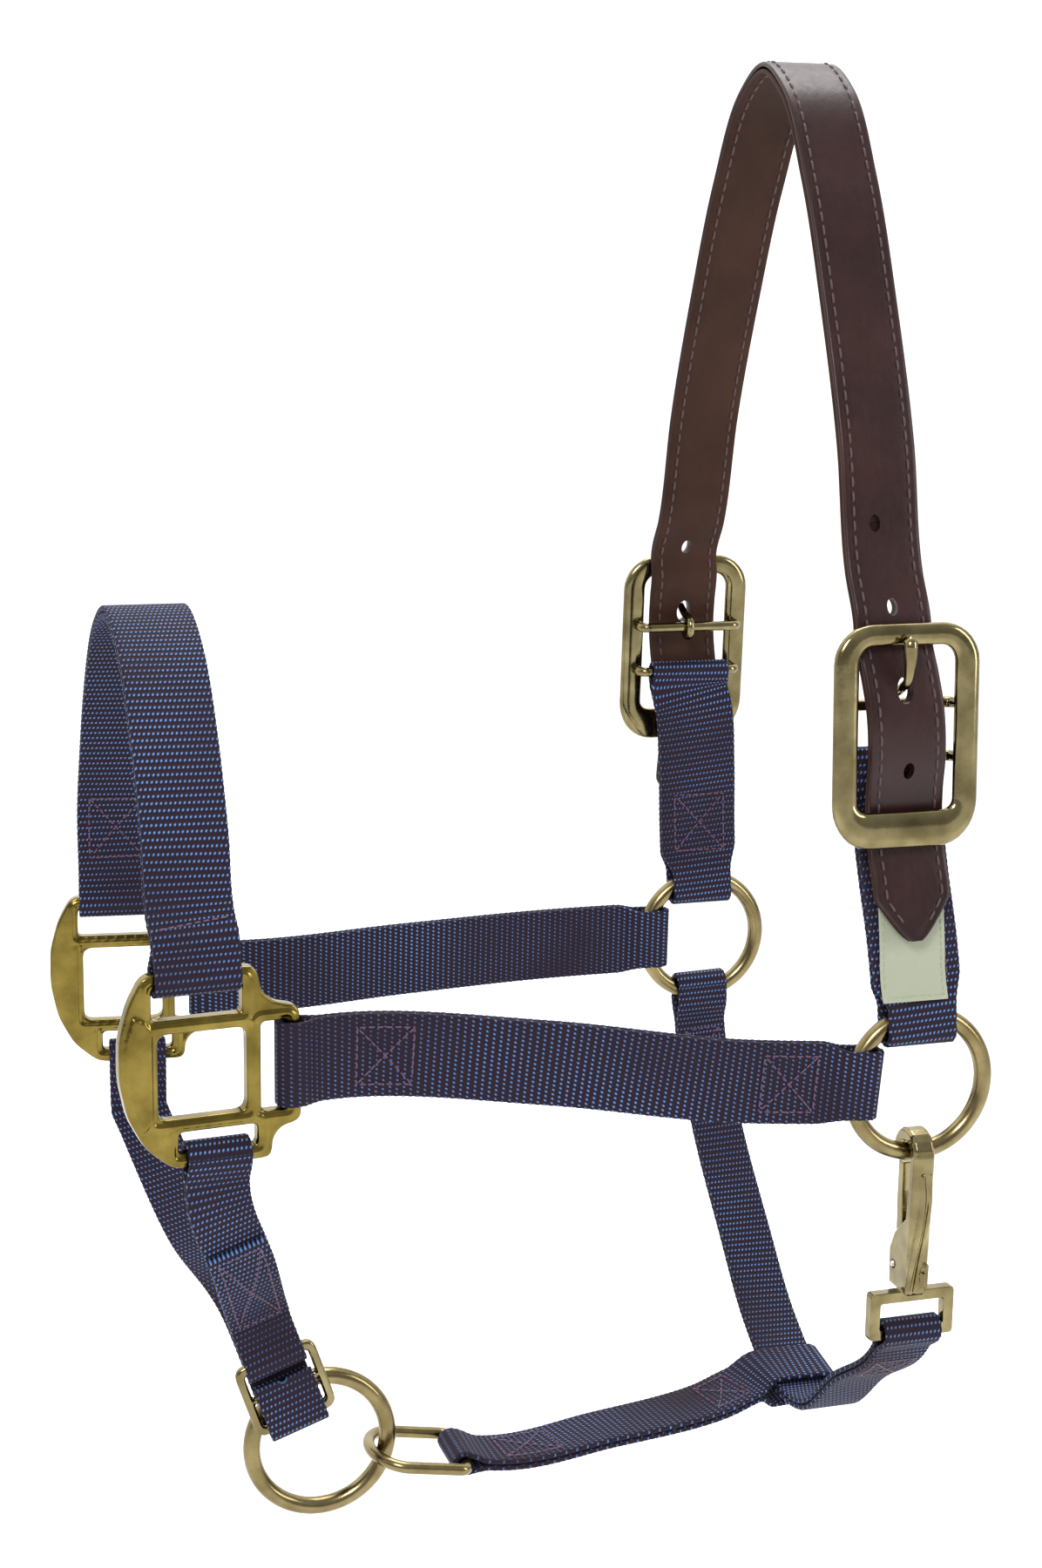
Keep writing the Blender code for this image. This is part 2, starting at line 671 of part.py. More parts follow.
def near_chin_route():
    square_at = square_place(-1.0)
    slide_at = slide_place()
    bar = square_at(Vector((CHIN_SHIFT, 0.0, SQUARE_LOW + SQUARE_BAR / 2)))
    drop = bar + Vector((0.0, 0.0, -11.0))
    end = slide_at((0.0, SLIDE_FACE, SLIDE_HIGH - SLIDE_BAR / 2))
    before = slide_at((0.0, SLIDE_FACE + 1.0, SLIDE_HIGH + 12.0))
    middle = mix(drop, before, 0.5) + Vector((0.0, -4.0, 0.0))
    route = smooth_route([bar, drop, middle, before, end], steps=6)
    travel = directions(route)
    along = distances(route)
    level = slide_axes()[1]
    first = Vector((math.cos(math.radians(SQUARE_TOE)), math.sin(math.radians(SQUARE_TOE)), 0))
    across = []
    for t, done in zip(travel, along):
        side = first.lerp(level, ease(done / along[-1]))
        across.append((side - t * side.dot(t)).normalized())
    return route, across


def near_chin_strap():
    route, across = near_chin_route()
    return doubled_strap("near_chin_strap", route, across, NARROW_WEB, bar_eye(),
                         (2.2 + GAP + LAYER / 2, 0.0))


def near_chin_overlay():
    """A further layer sewn to the outside, from a third of the way down to above the slide."""
    route, across = near_chin_route()
    travel = directions(route)
    along = distances(route)
    total = along[-1]
    centres = []
    sides = []
    for point, step, side, done in zip(route, travel, across, along):
        if total * 0.34 <= done <= total - 16.0:
            face = step.cross(side).normalized()
            outwards = face if face.y < 0 else -face
            centres.append(point + outwards * (LAYER * 1.5 + GAP * 1.5 + 0.15))
            sides.append(side)
    mesh = band("near_chin_overlay", centres, sides, [NARROW_WEB] * len(centres), LAYER, closed=False)
    return add_object("near_chin_overlay", mesh, "webbing")


def far_chin_strap():
    """One layer: through the slide, round the chin ring, up to the far square and back."""
    steps = 4
    slide_at = slide_place()
    square_at = square_place(1.0)
    middle = (SLIDE_LOW + SLIDE_HIGH) / 2
    over = SLIDE_FACE + SLIDE_HALF + GAP + LAYER / 2
    snug = RING_WIRE + GAP + LAYER / 2
    foot = SLIDE_LOW - GAP - LAYER / 2
    fold = [(SLIDE_HIGH - SLIDE_BAR - 5.0, over - 0.2), (middle, over + 0.2), (SLIDE_LOW + 2.0, over + 0.2),
            (SLIDE_LOW - 0.4, over - 0.2), (foot - 0.7, over - 1.8), (foot - 0.8, SLIDE_FACE - 1.6),
            (foot - 1.0, 1.5), (foot - 0.4, -1.4), (foot + 1.0, -snug + 0.1), (foot + 3.6, -snug - 0.4),
            (RING_RADIUS + 6.0, -snug - 0.6), (RING_RADIUS + 24.0, -snug - 8.0)]
    points = [slide_at((0.0, y, z)) for z, y in fold]
    leaves_ring = (len(points) - 2) * steps
    down = square_at(Vector((CHIN_SHIFT, -3.0, -44.0)))
    points += [mix(points[-1], down, 0.45) + Vector((0, 6.0, -8.0)), down]
    route = smooth_route(points, steps)
    held = distances(route)[leaves_ring]
    free = distances(route)[-1]
    reach = bar_eye()[0]
    wrap = []
    for degrees in range(180, -1, -30):
        angle = math.radians(degrees)
        wrap.append(square_at(Vector((CHIN_SHIFT, reach * math.cos(angle),
                                      SQUARE_LOW + SQUARE_BAR / 2 + reach * math.sin(angle)))))
    lap = [square_at(Vector((CHIN_SHIFT, y, z))) for y, z in ((reach * 0.55, -34.0), (-0.4, -44.0))]
    route += [square_at(Vector((CHIN_SHIFT, -3.3, -36.0)))] + wrap + lap
    along = distances(route)
    level = slide_axes()[1]
    angle = math.radians(-SQUARE_TOE)
    last = Vector((math.cos(angle), math.sin(angle), 0))
    across = []
    for i in range(len(route)):
        t = (route[min(i + 1, len(route) - 1)] - route[max(i - 1, 0)]).normalized()
        side = level.lerp(last, ease((along[i] - held) / (free - held)))
        across.append((side - t * side.dot(t)).normalized())
    mesh = band("far_chin_strap", route, across, [NARROW_WEB] * len(route), LAYER, closed=False)
    return add_object("far_chin_strap", mesh, "webbing")


def chin_ring():
    return torus("chin_ring", CHIN_RING, (0, 1, 0), RING_RADIUS, RING_WIRE, "brass",
                 pivot=world(*CHIN_RING))


# ---------------------------------------------------------------- jaw and throat

LINK_WIRE = 1.9
LINK_ANGLE = -15.0        # where on the chin ring the link hangs, in degrees from +X
LOOP_END = 7.4            # how far past the throat strap's middle the jaw strap's loop turns
LINK_HALF = 13.2          # half the link's width between wire middles
LINK_REACH = 24.0         # from the chin ring's wire to the straight bar
LINK_BOW = 0.75           # depth of the link's rounded end, as a share of half its width
LINK_SLOPE = -10.0        # degrees from level


def link_axes():
    """The link lies nearly level, sloping down towards the tail, its width along Y."""
    slope = math.radians(LINK_SLOPE)
    ahead = Vector((math.cos(slope), 0.0, math.sin(slope)))
    return ahead, Vector((0.0, 1.0, 0.0))


def link_start():
    """Where the link hangs on the chin ring: the middle of the ring's wire at its tail end."""
    angle = math.radians(LINK_ANGLE)
    return Vector(CHIN_RING) + Vector((math.cos(angle), 0.0, math.sin(angle))) * RING_RADIUS


def link_ring():
    ahead, side = link_axes()
    base = link_start() - ahead * (RING_WIRE + GAP + LINK_WIRE)
    route = []
    for degrees in range(-90, 91, 15):
        angle = math.radians(degrees)
        bow = ahead * (LINK_HALF * (1 - math.cos(angle)) * LINK_BOW)
        route.append(base + bow + side * (LINK_HALF * math.sin(angle)))
    length = RING_WIRE + GAP + LINK_WIRE + LINK_REACH
    corner = 2.4
    for across_sign in (1, -1):
        shift = [(length - corner, LINK_HALF), (length - corner * 0.3, LINK_HALF - corner * 0.3),
                 (length, LINK_HALF - corner)]
        if across_sign < 0:
            shift = shift[::-1]
        route += [base + ahead * a + side * (across_sign * b) for a, b in shift]
    return wire("link_ring", route, [LINK_WIRE] * len(route), "brass", closed=True,
                pivot=world(*link_start()), up=(0, 0, 1))


def jaw_strap():
    ahead, side = link_axes()
    bar = link_start() + ahead * LINK_REACH
    rear = Vector(throat_points()[5])
    lead = bar + ahead * 12.0
    points = [bar, lead, mix(lead, rear, 0.35) + Vector((0, 0, -2.0)),
              mix(lead, rear, 0.7) + Vector((0, 0, -2.0)), rear - Vector((14.0, 0.0, 0.5)),
              rear + Vector((LOOP_END, 0.0, 0.0))]
    route = smooth_route(points, steps=5)
    travel = directions(route)
    along = distances(route)
    across = []
    goal = throat_across_jaw()
    for t, done in zip(travel, along):
        turned = side.lerp(goal, ease(done / along[-1]))
        across.append((turned - t * turned.dot(t)).normalized())
    loop = (LAYER * 1.5 + GAP * 1.5 + 1.8, LOOP_END + NARROW_WEB / 2 + 1.5)
    return doubled_strap("jaw_strap", route, across, NARROW_WEB,
                         (LINK_WIRE + GAP + LAYER / 2, 0.0), loop)


def throat_points():
    return [(0.0, RING_Y, -RING_RADIUS), (0.5, RING_Y - 0.5, -34.0), (3.0, 77.0, -68.0),
            (4.0, 50.0, -100.0), (3.0, 22.0, -123.0), (2.0, -3.0, -133.5), (1.0, -30.0, -131.0),
            (0.0, -58.0, -109.0)]


def throat_across_jaw():
    """The throat strap's direction of travel where the jaw strap's loop holds it."""
    before = Vector(throat_points()[4])
    after = Vector(throat_points()[6])
    return (before - after).normalized()


SNAP_EYE_BAR = 3.4
SNAP_EYE_FOOT = -81.0
SNAP_EYE_HEAD = -65.8
SNAP_EYE_Z = SNAP_EYE_FOOT + SNAP_EYE_BAR / 2     # middle of the snap eye's lower bar
SNAP_EYE_DEPTH = 1.8      # half the eye's thickness
SNAP_EYE_Y = 1.5
SNAP_EYE_HALF = 14.0
SNAP_WIDTH = 7.0
GATE_SLOT = 3.8
GATE_PIN = (-4.2, -59.5)  # depth and height of the gate's pin
PIN_RADIUS = 1.1
SPRING_SEAT = 2.0
GATE_ROOM = 1.0           # how deep the slot lets the opened gate into the spine
SPRING_RADIUS = 1.2
SPRING_WIRE = 0.25
HOOK_INNER = RING_WIRE + 0.7
HOOK_OUTER = HOOK_INNER + 4.2


def throat_strap():
    foot, slot = ring_foot(NARROW_WEB / 2)
    points = [Vector(p) for p in throat_points()]
    points[0] = Vector((0.0, RING_Y, -foot))
    eye = snap_place(Vector((0.0, SNAP_EYE_Y, SNAP_EYE_Z)))
    points += [eye + Vector((0.0, 7.0, -10.0)), eye]
    route = smooth_route(points, steps=5)
    travel = directions(route)
    across = [(Vector((1, 0, 0)) - t * t.x).normalized() for t in travel]
    return doubled_strap("throat_strap", route, across, NARROW_WEB,
                         (RING_WIRE + GAP + LAYER / 2, slot),
                         (SNAP_EYE_BAR / 2 * 1.414 + GAP + LAYER / 2, 0.0))


# ---------------------------------------------------------------- snap

def snap_place(p):
    """Local x towards the tail, y outwards, z up from the near cheek ring's axis."""
    return Vector((p[0], -RING_Y - p[1], p[2]))


def hook_place(p):
    """Turns an outline drawn in depth and height, so the hook crosses the ring's wire."""
    return snap_place((p[1], p[0], p[2]))


def arc(centre, radius, start, end, steps):
    turns = [math.radians(start + (end - start) * k / steps) for k in range(steps + 1)]
    return [(centre[0] + radius * math.cos(a), centre[1] + radius * math.sin(a)) for a in turns]


def snap_body():
    """The hook passes in front of the ring, over it and down behind; a square eye hangs below."""
    ring_at = (0.0, -RING_RADIUS)
    outline = arc(ring_at, HOOK_OUTER, 190, 0, 10)
    outline += [(6.8, -45.0), (5.6, -66.8), (-7.4, -66.8), (-7.8, -55.0), (-5.0, -49.0),
                (HOOK_INNER - 1.2, -42.0), (HOOK_INNER, -30.0)]
    outline += arc(ring_at, HOOK_INNER, 0, 190, 8)
    half = SNAP_WIDTH / 2
    body = plate("snap_body", outline, [], -half, half, "pale_brass", hook_place, bevel=0.9)
    frame = box_outline(-SNAP_EYE_HALF, SNAP_EYE_FOOT, SNAP_EYE_HALF, SNAP_EYE_HEAD, 1.2, 2)
    inner = SNAP_EYE_HALF - SNAP_EYE_BAR
    window = box_outline(-inner, SNAP_EYE_FOOT + SNAP_EYE_BAR, inner, SNAP_EYE_HEAD - SNAP_EYE_BAR, 0.8, 2)
    eye = plate("eye", frame, [window], SNAP_EYE_Y - SNAP_EYE_DEPTH, SNAP_EYE_Y + SNAP_EYE_DEPTH,
                "pale_brass", snap_place)
    boolean(body, eye, "UNION")
    cavity = [(-11.0, -63.4), (-1.2, -63.4), (-1.2, -58.0), (SPRING_SEAT, -56.0), (SPRING_SEAT, -50.0),
              (GATE_ROOM, -48.0), (GATE_ROOM, -36.0), (-11.0, -36.0)]
    slot = plate("slot", cavity, [], -GATE_SLOT / 2, GATE_SLOT / 2, "pale_brass", hook_place)
    boolean(body, slot, "DIFFERENCE")
    hole = plate("hole", arc(GATE_PIN, PIN_RADIUS + GAP, 0, 330, 11), [], -6.0, 6.0, "pale_brass",
                 hook_place)
    boolean(body, hole, "DIFFERENCE")
    return body


def snap_gate():
    """A lever on the pin that closes the hook's mouth from the inside."""
    y, z = GATE_PIN
    tip = -HOOK_INNER - 2.2
    outline = arc(GATE_PIN, 2.6, 190, 350, 6)
    outline += [(y + 1.6, z + 8.0), (tip + 1.5, -36.0), (tip + 1.5, -26.8), (tip - 1.5, -26.8),
                (tip - 1.7, -38.0), (y - 2.6, z + 8.0)]
    hole = arc(GATE_PIN, PIN_RADIUS + GAP, 330, 0, 11)
    half = GATE_SLOT / 2 - GAP
    return plate("snap_gate", outline, [hole], -half, half, "pale_brass", hook_place,
                 pivot=world(*hook_place((y, 0.0, z))))


def snap_pin():
    y, z = GATE_PIN
    half = SNAP_WIDTH / 2
    route = [hook_place((y, x, z)) for x in (-half - 0.6, -half, half, half + 0.6)]
    radii = [PIN_RADIUS * 0.7, PIN_RADIUS, PIN_RADIUS, PIN_RADIUS * 0.7]
    return wire("snap_pin", route, radii, "steel", sides=12, up=(0, 0, 1))


def snap_spring():
    """A short coil that pushes the gate shut, in its seat inside the slot."""
    turns = 3
    start = GATE_PIN[0] + 2.6
    length = SPRING_SEAT - GAP - SPRING_WIRE - start
    route = []
    for k in range(turns * 10 + 1):
        angle = 2 * math.pi * k / 10
        depth = start + length * k / (turns * 10)
        route.append(hook_place((depth, SPRING_RADIUS * math.cos(angle),
                                 -53.0 + SPRING_RADIUS * math.sin(angle))))
    return wire("snap_spring", route, [SPRING_WIRE] * len(route), "steel", sides=6, up=(1, 0, 0))


def build():
    for thing in list(bpy.data.objects):
        bpy.data.objects.remove(thing)
    crown_layer("crown_outer", (LAYER + GAP) / 2)
    crown_layer("crown_lining", -(LAYER + GAP) / 2)
    for side, sign in SIDES.items():
        buckle_frame(side, sign)
        tongue(side, sign)
        tab(side, sign)
        cheek_ring(side, sign)
        square(side, sign)
        cheek_strap(side, sign)
    noseband()
    chin_slide()
    near_chin_strap()
    far_chin_strap()
    chin_ring()
    link_ring()
    jaw_strap()
    throat_strap()
    snap_body()
    snap_gate()
    snap_pin()
    snap_spring()
    near_label()
    near_chin_overlay()


build()
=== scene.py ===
"""The looks of the webbing headcollar: woven straps, stitched leather, cast and polished brass.

Places are in millimetres from the axis that joins the two cheek rings, as in the part's own
source: +Z up, -X towards the nose, -Y the near side. The world's origin is the poll seat.
"""
import json
import math

import bmesh
import bpy
import numpy as np
from mathutils import Matrix, Vector
from mathutils.geometry import interpolate_bezier

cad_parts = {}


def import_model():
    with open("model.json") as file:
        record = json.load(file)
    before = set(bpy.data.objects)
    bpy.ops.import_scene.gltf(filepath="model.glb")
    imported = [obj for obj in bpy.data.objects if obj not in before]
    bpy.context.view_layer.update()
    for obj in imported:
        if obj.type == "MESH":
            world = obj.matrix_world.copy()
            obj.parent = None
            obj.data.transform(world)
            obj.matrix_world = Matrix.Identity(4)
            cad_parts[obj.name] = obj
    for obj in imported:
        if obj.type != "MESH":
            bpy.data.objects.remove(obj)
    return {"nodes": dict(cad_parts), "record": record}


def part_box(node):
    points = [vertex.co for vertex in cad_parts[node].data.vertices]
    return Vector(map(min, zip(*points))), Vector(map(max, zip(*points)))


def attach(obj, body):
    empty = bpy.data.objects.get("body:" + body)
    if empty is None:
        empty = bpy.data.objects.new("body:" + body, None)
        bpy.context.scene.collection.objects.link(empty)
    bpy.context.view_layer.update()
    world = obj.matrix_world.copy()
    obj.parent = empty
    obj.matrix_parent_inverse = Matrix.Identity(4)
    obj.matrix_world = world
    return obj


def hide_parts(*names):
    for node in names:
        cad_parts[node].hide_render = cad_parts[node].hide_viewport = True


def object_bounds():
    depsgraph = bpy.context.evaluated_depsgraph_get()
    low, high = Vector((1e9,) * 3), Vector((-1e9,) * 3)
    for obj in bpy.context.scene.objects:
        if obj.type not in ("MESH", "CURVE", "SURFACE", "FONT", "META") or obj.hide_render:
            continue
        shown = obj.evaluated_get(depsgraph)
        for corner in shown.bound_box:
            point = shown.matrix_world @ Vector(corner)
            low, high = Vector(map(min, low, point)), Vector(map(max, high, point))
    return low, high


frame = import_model()
cad_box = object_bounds()

MM = 0.001

# The part's driving dimensions, in millimetres.
POLL_SEAT = (-12.0, 0.0, 300.0)
GAP = 0.3
LAYER = 1.8
WIDE_WEB = 25.4
TAB_WEB = 28.6
NARROW_WEB = 19.0
CROWN_WIDTH = 24.0
RING_RADIUS = 21.75
RING_WIRE = 2.7
RING_EYE_TAB = 22.4
RING_EYE_CHEEK = 21.5
RING_Y = 90.0
SQUARE_X = -215.5
SQUARE_Y = 73.0
SQUARE_Z = 9.5
SQUARE_TILT = 7.0
SQUARE_TOE = 6.0
SQUARE_THICK = 4.4
SQUARE_BAR = 4.2
SQUARE_TOP = 30.2
SQUARE_REAR = 29.0
SQUARE_LOW = -27.3
WINDOW_HALF = 12.5        # the square's window: half its height, its rear and its front
WINDOW_REAR = 12.8
WINDOW_FRONT = 13.3
NOSE_SLOT = 13.2          # half lengths of its slots
CHEEK_SLOT = 13.3
CHIN_SLOT = 11.6
CHIN_SHIFT = 4.2
NOSE_SHIFT = -1.6
BUCKLE_X = -9.5
BUCKLE_Y = 91.0
BUCKLE_Z = 107.3
BUCKLE_LEAN = 3.0
CROWN_SKEW = 3.0
HALF_BUCKLE = 34.0
TONGUE_HOLE = 13.9
HOLE_PITCH = 24.0
TIP_REACH = 13.0
EYE_TAPER = 9.0
CROSSBAR_RADIUS = 1.7
CROSSBAR_BACK = 7.0
UPPER_CROSSBAR = 8.7
LOWER_CROSSBAR = -7.3
TONGUE_WIRE = 1.4
CHIN_RING = (-172.5, -33.0, -120.5)
CHIN_ANGLE = 119.0
NOSE_TOP = 138.0
NOSE_X = -217.5
SLIDE_FACE = 6.7
SLIDE_LOW = 13.5
SLIDE_HIGH = 38.0
SLIDE_BAR = 3.2
SLIDE_THICK = 2.8
SLIDE_WRAP = 2.2
SLIDE_TURN = 10.0
BUCKLE_WIDTH = 46.5
BUCKLE_HEIGHT = 66.5
BUCKLE_WINDOW = 31.0
LINK_WIRE = 1.9
LINK_ANGLE = -15.0
LOOP_END = 7.4
LINK_HALF = 13.2
LINK_REACH = 24.0
LINK_BOW = 0.75
LINK_SLOPE = -10.0
SNAP_EYE_BAR = 3.4
SNAP_EYE_FOOT = -81.0
SNAP_EYE_Z = SNAP_EYE_FOOT + SNAP_EYE_BAR / 2
SNAP_EYE_Y = 1.5

SIDES = {"near": -1.0, "far": 1.0}
BODY_OF = {node: body for body, nodes in frame["record"]["behaviour"]["bodies"].items() for node in nodes}

# The finish's own sizes, in millimetres.
ROW = 2.1                 # pitch of the weave's rows along a strap
YARN = 1.35               # pitch of the yarns across it
RIB = 0.13                # how far a row stands proud of the gap beside it
NOTCH = 0.22              # how far that gap cuts into the strap's edges
SAMPLE = 0.525            # spacing of a webbing strap's sections
UV_SPAN = 100.0           # what one unit of a strap's texture map covers
CROWN_SAMPLE = 1.2        # spacing of the leather's sections
CREASE = 1.7              # from the leather's edge to the creased line
STITCH_INSET = 3.0        # from the leather's edge to its stitches
STITCH = 4.3              # pitch of the leather's stitches
WEB_STITCH = 2.6          # pitch of the webbing's stitches
THREAD = 0.42             # radius of the leather's thread
FINE_THREAD = 0.30        # radius of the webbing's thread
NARROW_BOX = 6.6          # half widths of the stitched boxes
CHEEK_BOX = 8.6
NOSE_BOX = 8.8
TAB_BOX = 9.4
OVERLAY_SLACK = 0.15      # between the chin strap and the layer stitched over it

LAYER_SHIFT = (LAYER + GAP) / 2   # from a doubled strap's middle line to the middle of each layer
OUTSIDE = LAYER + GAP / 2         # and to its outer faces


# ---------------------------------------------------------------- the part's frame

def world(point):
    return (Vector(point) - Vector(POLL_SEAT)) * MM


def to_world(points):
    """The same for an array of points."""
    return (np.asarray(points, float) - np.array(POLL_SEAT)) * MM


# ---------------------------------------------------------------- routes, as in the part

def smooth_route(points, steps=18):
    """A smooth curve through given points, its speed following the points' spacing."""
    points = [Vector(p) for p in points]
    lengths = [(b - a).length for a, b in zip(points, points[1:])]
    headings = [(b - a) / d for a, b, d in zip(points, points[1:], lengths)]
    tangents = [headings[0]]
    for i in range(1, len(points) - 1):
        before = lengths[i - 1]
        after = lengths[i]
        tangents.append((headings[i - 1] * after + headings[i] * before) / (before + after))
    tangents.append(headings[-1])
    route = [points[0]]
    for i, length in enumerate(lengths):
        one = points[i] + tangents[i] * length / 3.0
        two = points[i + 1] - tangents[i + 1] * length / 3.0
        route += interpolate_bezier(points[i], one, two, points[i + 1], steps + 1)[1:]
    return route


def directions(route):
    """The unit direction of travel at each point of a route."""
    found = []
    for i in range(len(route)):
        step = route[min(i + 1, len(route) - 1)] - route[max(i - 1, 0)]
        found.append(step.normalized())
    return found


def distances(route):
    """The distance travelled at each point of a route."""
    found = [0.0]
    for a, b in zip(route, route[1:]):
        found.append(found[-1] + (b - a).length)
    return found


def mix(a, b, share):
    return a + (b - a) * share


def ease(share):
    share = min(max(share, 0.0), 1.0)
    return share * share * (3.0 - 2.0 * share)


def square_to(side, travel):
    """The side direction, made square to the direction of travel."""
    return (side - travel * side.dot(travel)).normalized()


def steady_across(route, side):
    """Directions across a strap that stay as near to one direction as the route lets them."""
    return [square_to(side, travel) for travel in directions(route)]


def turning_across(route, first, last):
    """Directions across a strap that turn from one direction to another on the way."""
    along = distances(route)
    return [square_to(first.lerp(last, ease(done / along[-1])), travel)
            for travel, done in zip(directions(route), along)]


def in_profile(angle):
    """The direction at this angle in the plane of the profile, from +X towards +Z."""
    return Vector((math.cos(angle), 0.0, math.sin(angle)))


def in_plan(angle):
    """The direction at this angle in the level plane, from +X towards +Y."""
    return Vector((math.cos(angle), math.sin(angle), 0.0))


def wrap_radius(bar):
    """The radius of a layer's middle line where it wraps a bar of this radius."""
    return bar + GAP + LAYER / 2

def ring_foot(half_width):
    """How far from a ring's centre an eye of this half width turns, and its slot length."""
    inner = RING_RADIUS - RING_WIRE
    foot = math.sqrt(inner ** 2 - half_width ** 2) + RING_WIRE - 0.4
    return foot, RING_RADIUS - foot + 2.6


def square_centre(sign):
    return Vector((SQUARE_X, sign * SQUARE_Y, SQUARE_Z - sign * SQUARE_TILT))


def square_place(sign):
    """Local x along the cheek, y outwards, z up, splayed a little at the nose."""
    turn = Matrix.Rotation(math.radians(-sign * SQUARE_TOE), 3, "Z")
    centre = square_centre(sign)

    def place(p):
        return centre + turn @ Vector((p[0], sign * p[1], p[2]))
    return place


def buckle_place(sign):
    """Local x towards the tail, y outwards, z up along the leaning buckle."""
    lean = Matrix.Rotation(math.radians(BUCKLE_LEAN), 3, "X")
    centre = Vector((BUCKLE_X, sign * BUCKLE_Y, BUCKLE_Z))

    def place(p):
        local = lean @ Vector((p[0], p[1], p[2]))
        return centre + Vector((local.x, sign * local.y, local.z))
    return place


def crown_half_route(sign):
    """From the poll down through the buckle to the pointed end, outer face outwards."""
    place = buckle_place(sign)
    top = [(0.0, 302.0), (17.0, 294.0), (35.5, 268.0), (53.0, 231.0), (68.5, 191.0), (78.0, 154.0)]
    route = [Vector((mix(POLL_SEAT[0], BUCKLE_X - CROWN_SKEW, i / 5), sign * y, z))
             for i, (y, z) in enumerate(top)]
    threaded = [(34.0, -4.6), (27.0, -4.5), (18.0, -1.6), (UPPER_CROSSBAR, 0.6), (LOWER_CROSSBAR, -0.5),
                (-16.0, -3.2), (-23.0, -4.6), (-34.0, -4.8)]
    route += [place((-CROWN_SKEW * z / HALF_BUCKLE, y, z)) for z, y in threaded]
    tail = ((91.4, 62.0), (94.6, 46.0))
    for i, (y, z) in enumerate(tail):
        route.append(Vector((BUCKLE_X + CROWN_SKEW * (1.2 + 0.2 * i), sign * y, z)))
    return route


def tab_route(sign):
    """From the foot of the ring's eye up to the buckle's lower crossbar."""
    place = buckle_place(sign)
    foot = ring_foot(RING_EYE_TAB / 2 + 1.0)[0]
    points = [Vector((-1.0, sign * RING_Y, foot)), Vector((-1.5, sign * RING_Y, foot + 8.0)),
              Vector((-3.0, sign * RING_Y * 0.985, 42.0)), Vector((-5.5, sign * 84.5, 66.0)),
              place((1.5, -CROSSBAR_BACK - 2.4, -20.0)),
              place((0.0, -CROSSBAR_BACK - 0.6, LOWER_CROSSBAR - 5.0)),
              place((0.0, -CROSSBAR_BACK, LOWER_CROSSBAR))]
    return smooth_route(points, steps=12)


def tip_share(reach):
    """How wide the strap is this far from its pointed end, as a share of its full width."""
    return min(1.0, 0.16 + 0.84 * (reach / TIP_REACH) ** 0.8)


def chin_axes():
    """Outwards along the ring's radius where the chin straps hang, and along its rim."""
    out = in_profile(math.radians(CHIN_ANGLE))
    return out, Vector((out.z, 0.0, -out.x))


def slide_axes():
    """The slide's own upright and level directions."""
    turn = Matrix.Rotation(math.radians(SLIDE_TURN), 3, "Y")
    out, rim = chin_axes()
    return turn @ out, turn @ rim


def slide_place():
    """Local x across the slide, y towards the near side, z up along it from the chin ring."""
    middle = (SLIDE_LOW + SLIDE_HIGH) / 2
    centre = Vector(CHIN_RING) + chin_axes()[0] * middle
    upright, level = slide_axes()

    def place(p):
        return centre + level * p[0] + upright * (p[2] - middle) + Vector((0, -p[1], 0))
    return place


def near_chin_route():
    """From the near square's lower bar down to the slide, and its directions across."""
    slide_at = slide_place()
    bar = square_place(-1.0)((CHIN_SHIFT, 0.0, SQUARE_LOW + SQUARE_BAR / 2))
    drop = bar + Vector((0.0, 0.0, -11.0))
    end = slide_at((0.0, SLIDE_FACE, SLIDE_HIGH - SLIDE_BAR / 2))
    before = slide_at((0.0, SLIDE_FACE + 1.0, SLIDE_HIGH + 12.0))
    middle = mix(drop, before, 0.5) + Vector((0.0, -4.0, 0.0))
    route = smooth_route([bar, drop, middle, before, end], steps=18)
    return route, turning_across(route, in_plan(math.radians(SQUARE_TOE)), slide_axes()[1])


def link_axes():
    """The link lies nearly level, sloping down towards the tail, its width along Y."""
    return in_profile(math.radians(LINK_SLOPE)), Vector((0.0, 1.0, 0.0))


def link_start():
    """Where the link hangs on the chin ring: the middle of the ring's wire at its tail end."""
    return Vector(CHIN_RING) + in_profile(math.radians(LINK_ANGLE)) * RING_RADIUS


def throat_points():
    return [(0.0, RING_Y, -RING_RADIUS), (0.5, RING_Y - 0.5, -34.0), (3.0, 77.0, -68.0),
            (4.0, 50.0, -100.0), (3.0, 22.0, -123.0), (2.0, -3.0, -133.5), (1.0, -30.0, -131.0),
            (0.0, -58.0, -109.0)]


def throat_across_jaw():
    """The throat strap's direction of travel where the jaw strap's loop holds it."""
    before = Vector(throat_points()[4])
    after = Vector(throat_points()[6])
    return (before - after).normalized()


def snap_place(p):
    """Local x towards the tail, y outwards, z up from the near cheek ring's axis."""
    return Vector((p[0], -RING_Y - p[1], p[2]))


def tongue_wrap(reach):
    """The eye: from just above the bar's front, down round the front, back and over the top."""
    angles = [math.radians(degrees) for degrees in range(20, -266, -30)]
    return [(UPPER_CROSSBAR + reach * math.sin(a), -CROSSBAR_BACK + reach * math.cos(a)) for a in angles]


# ---------------------------------------------------------------- materials

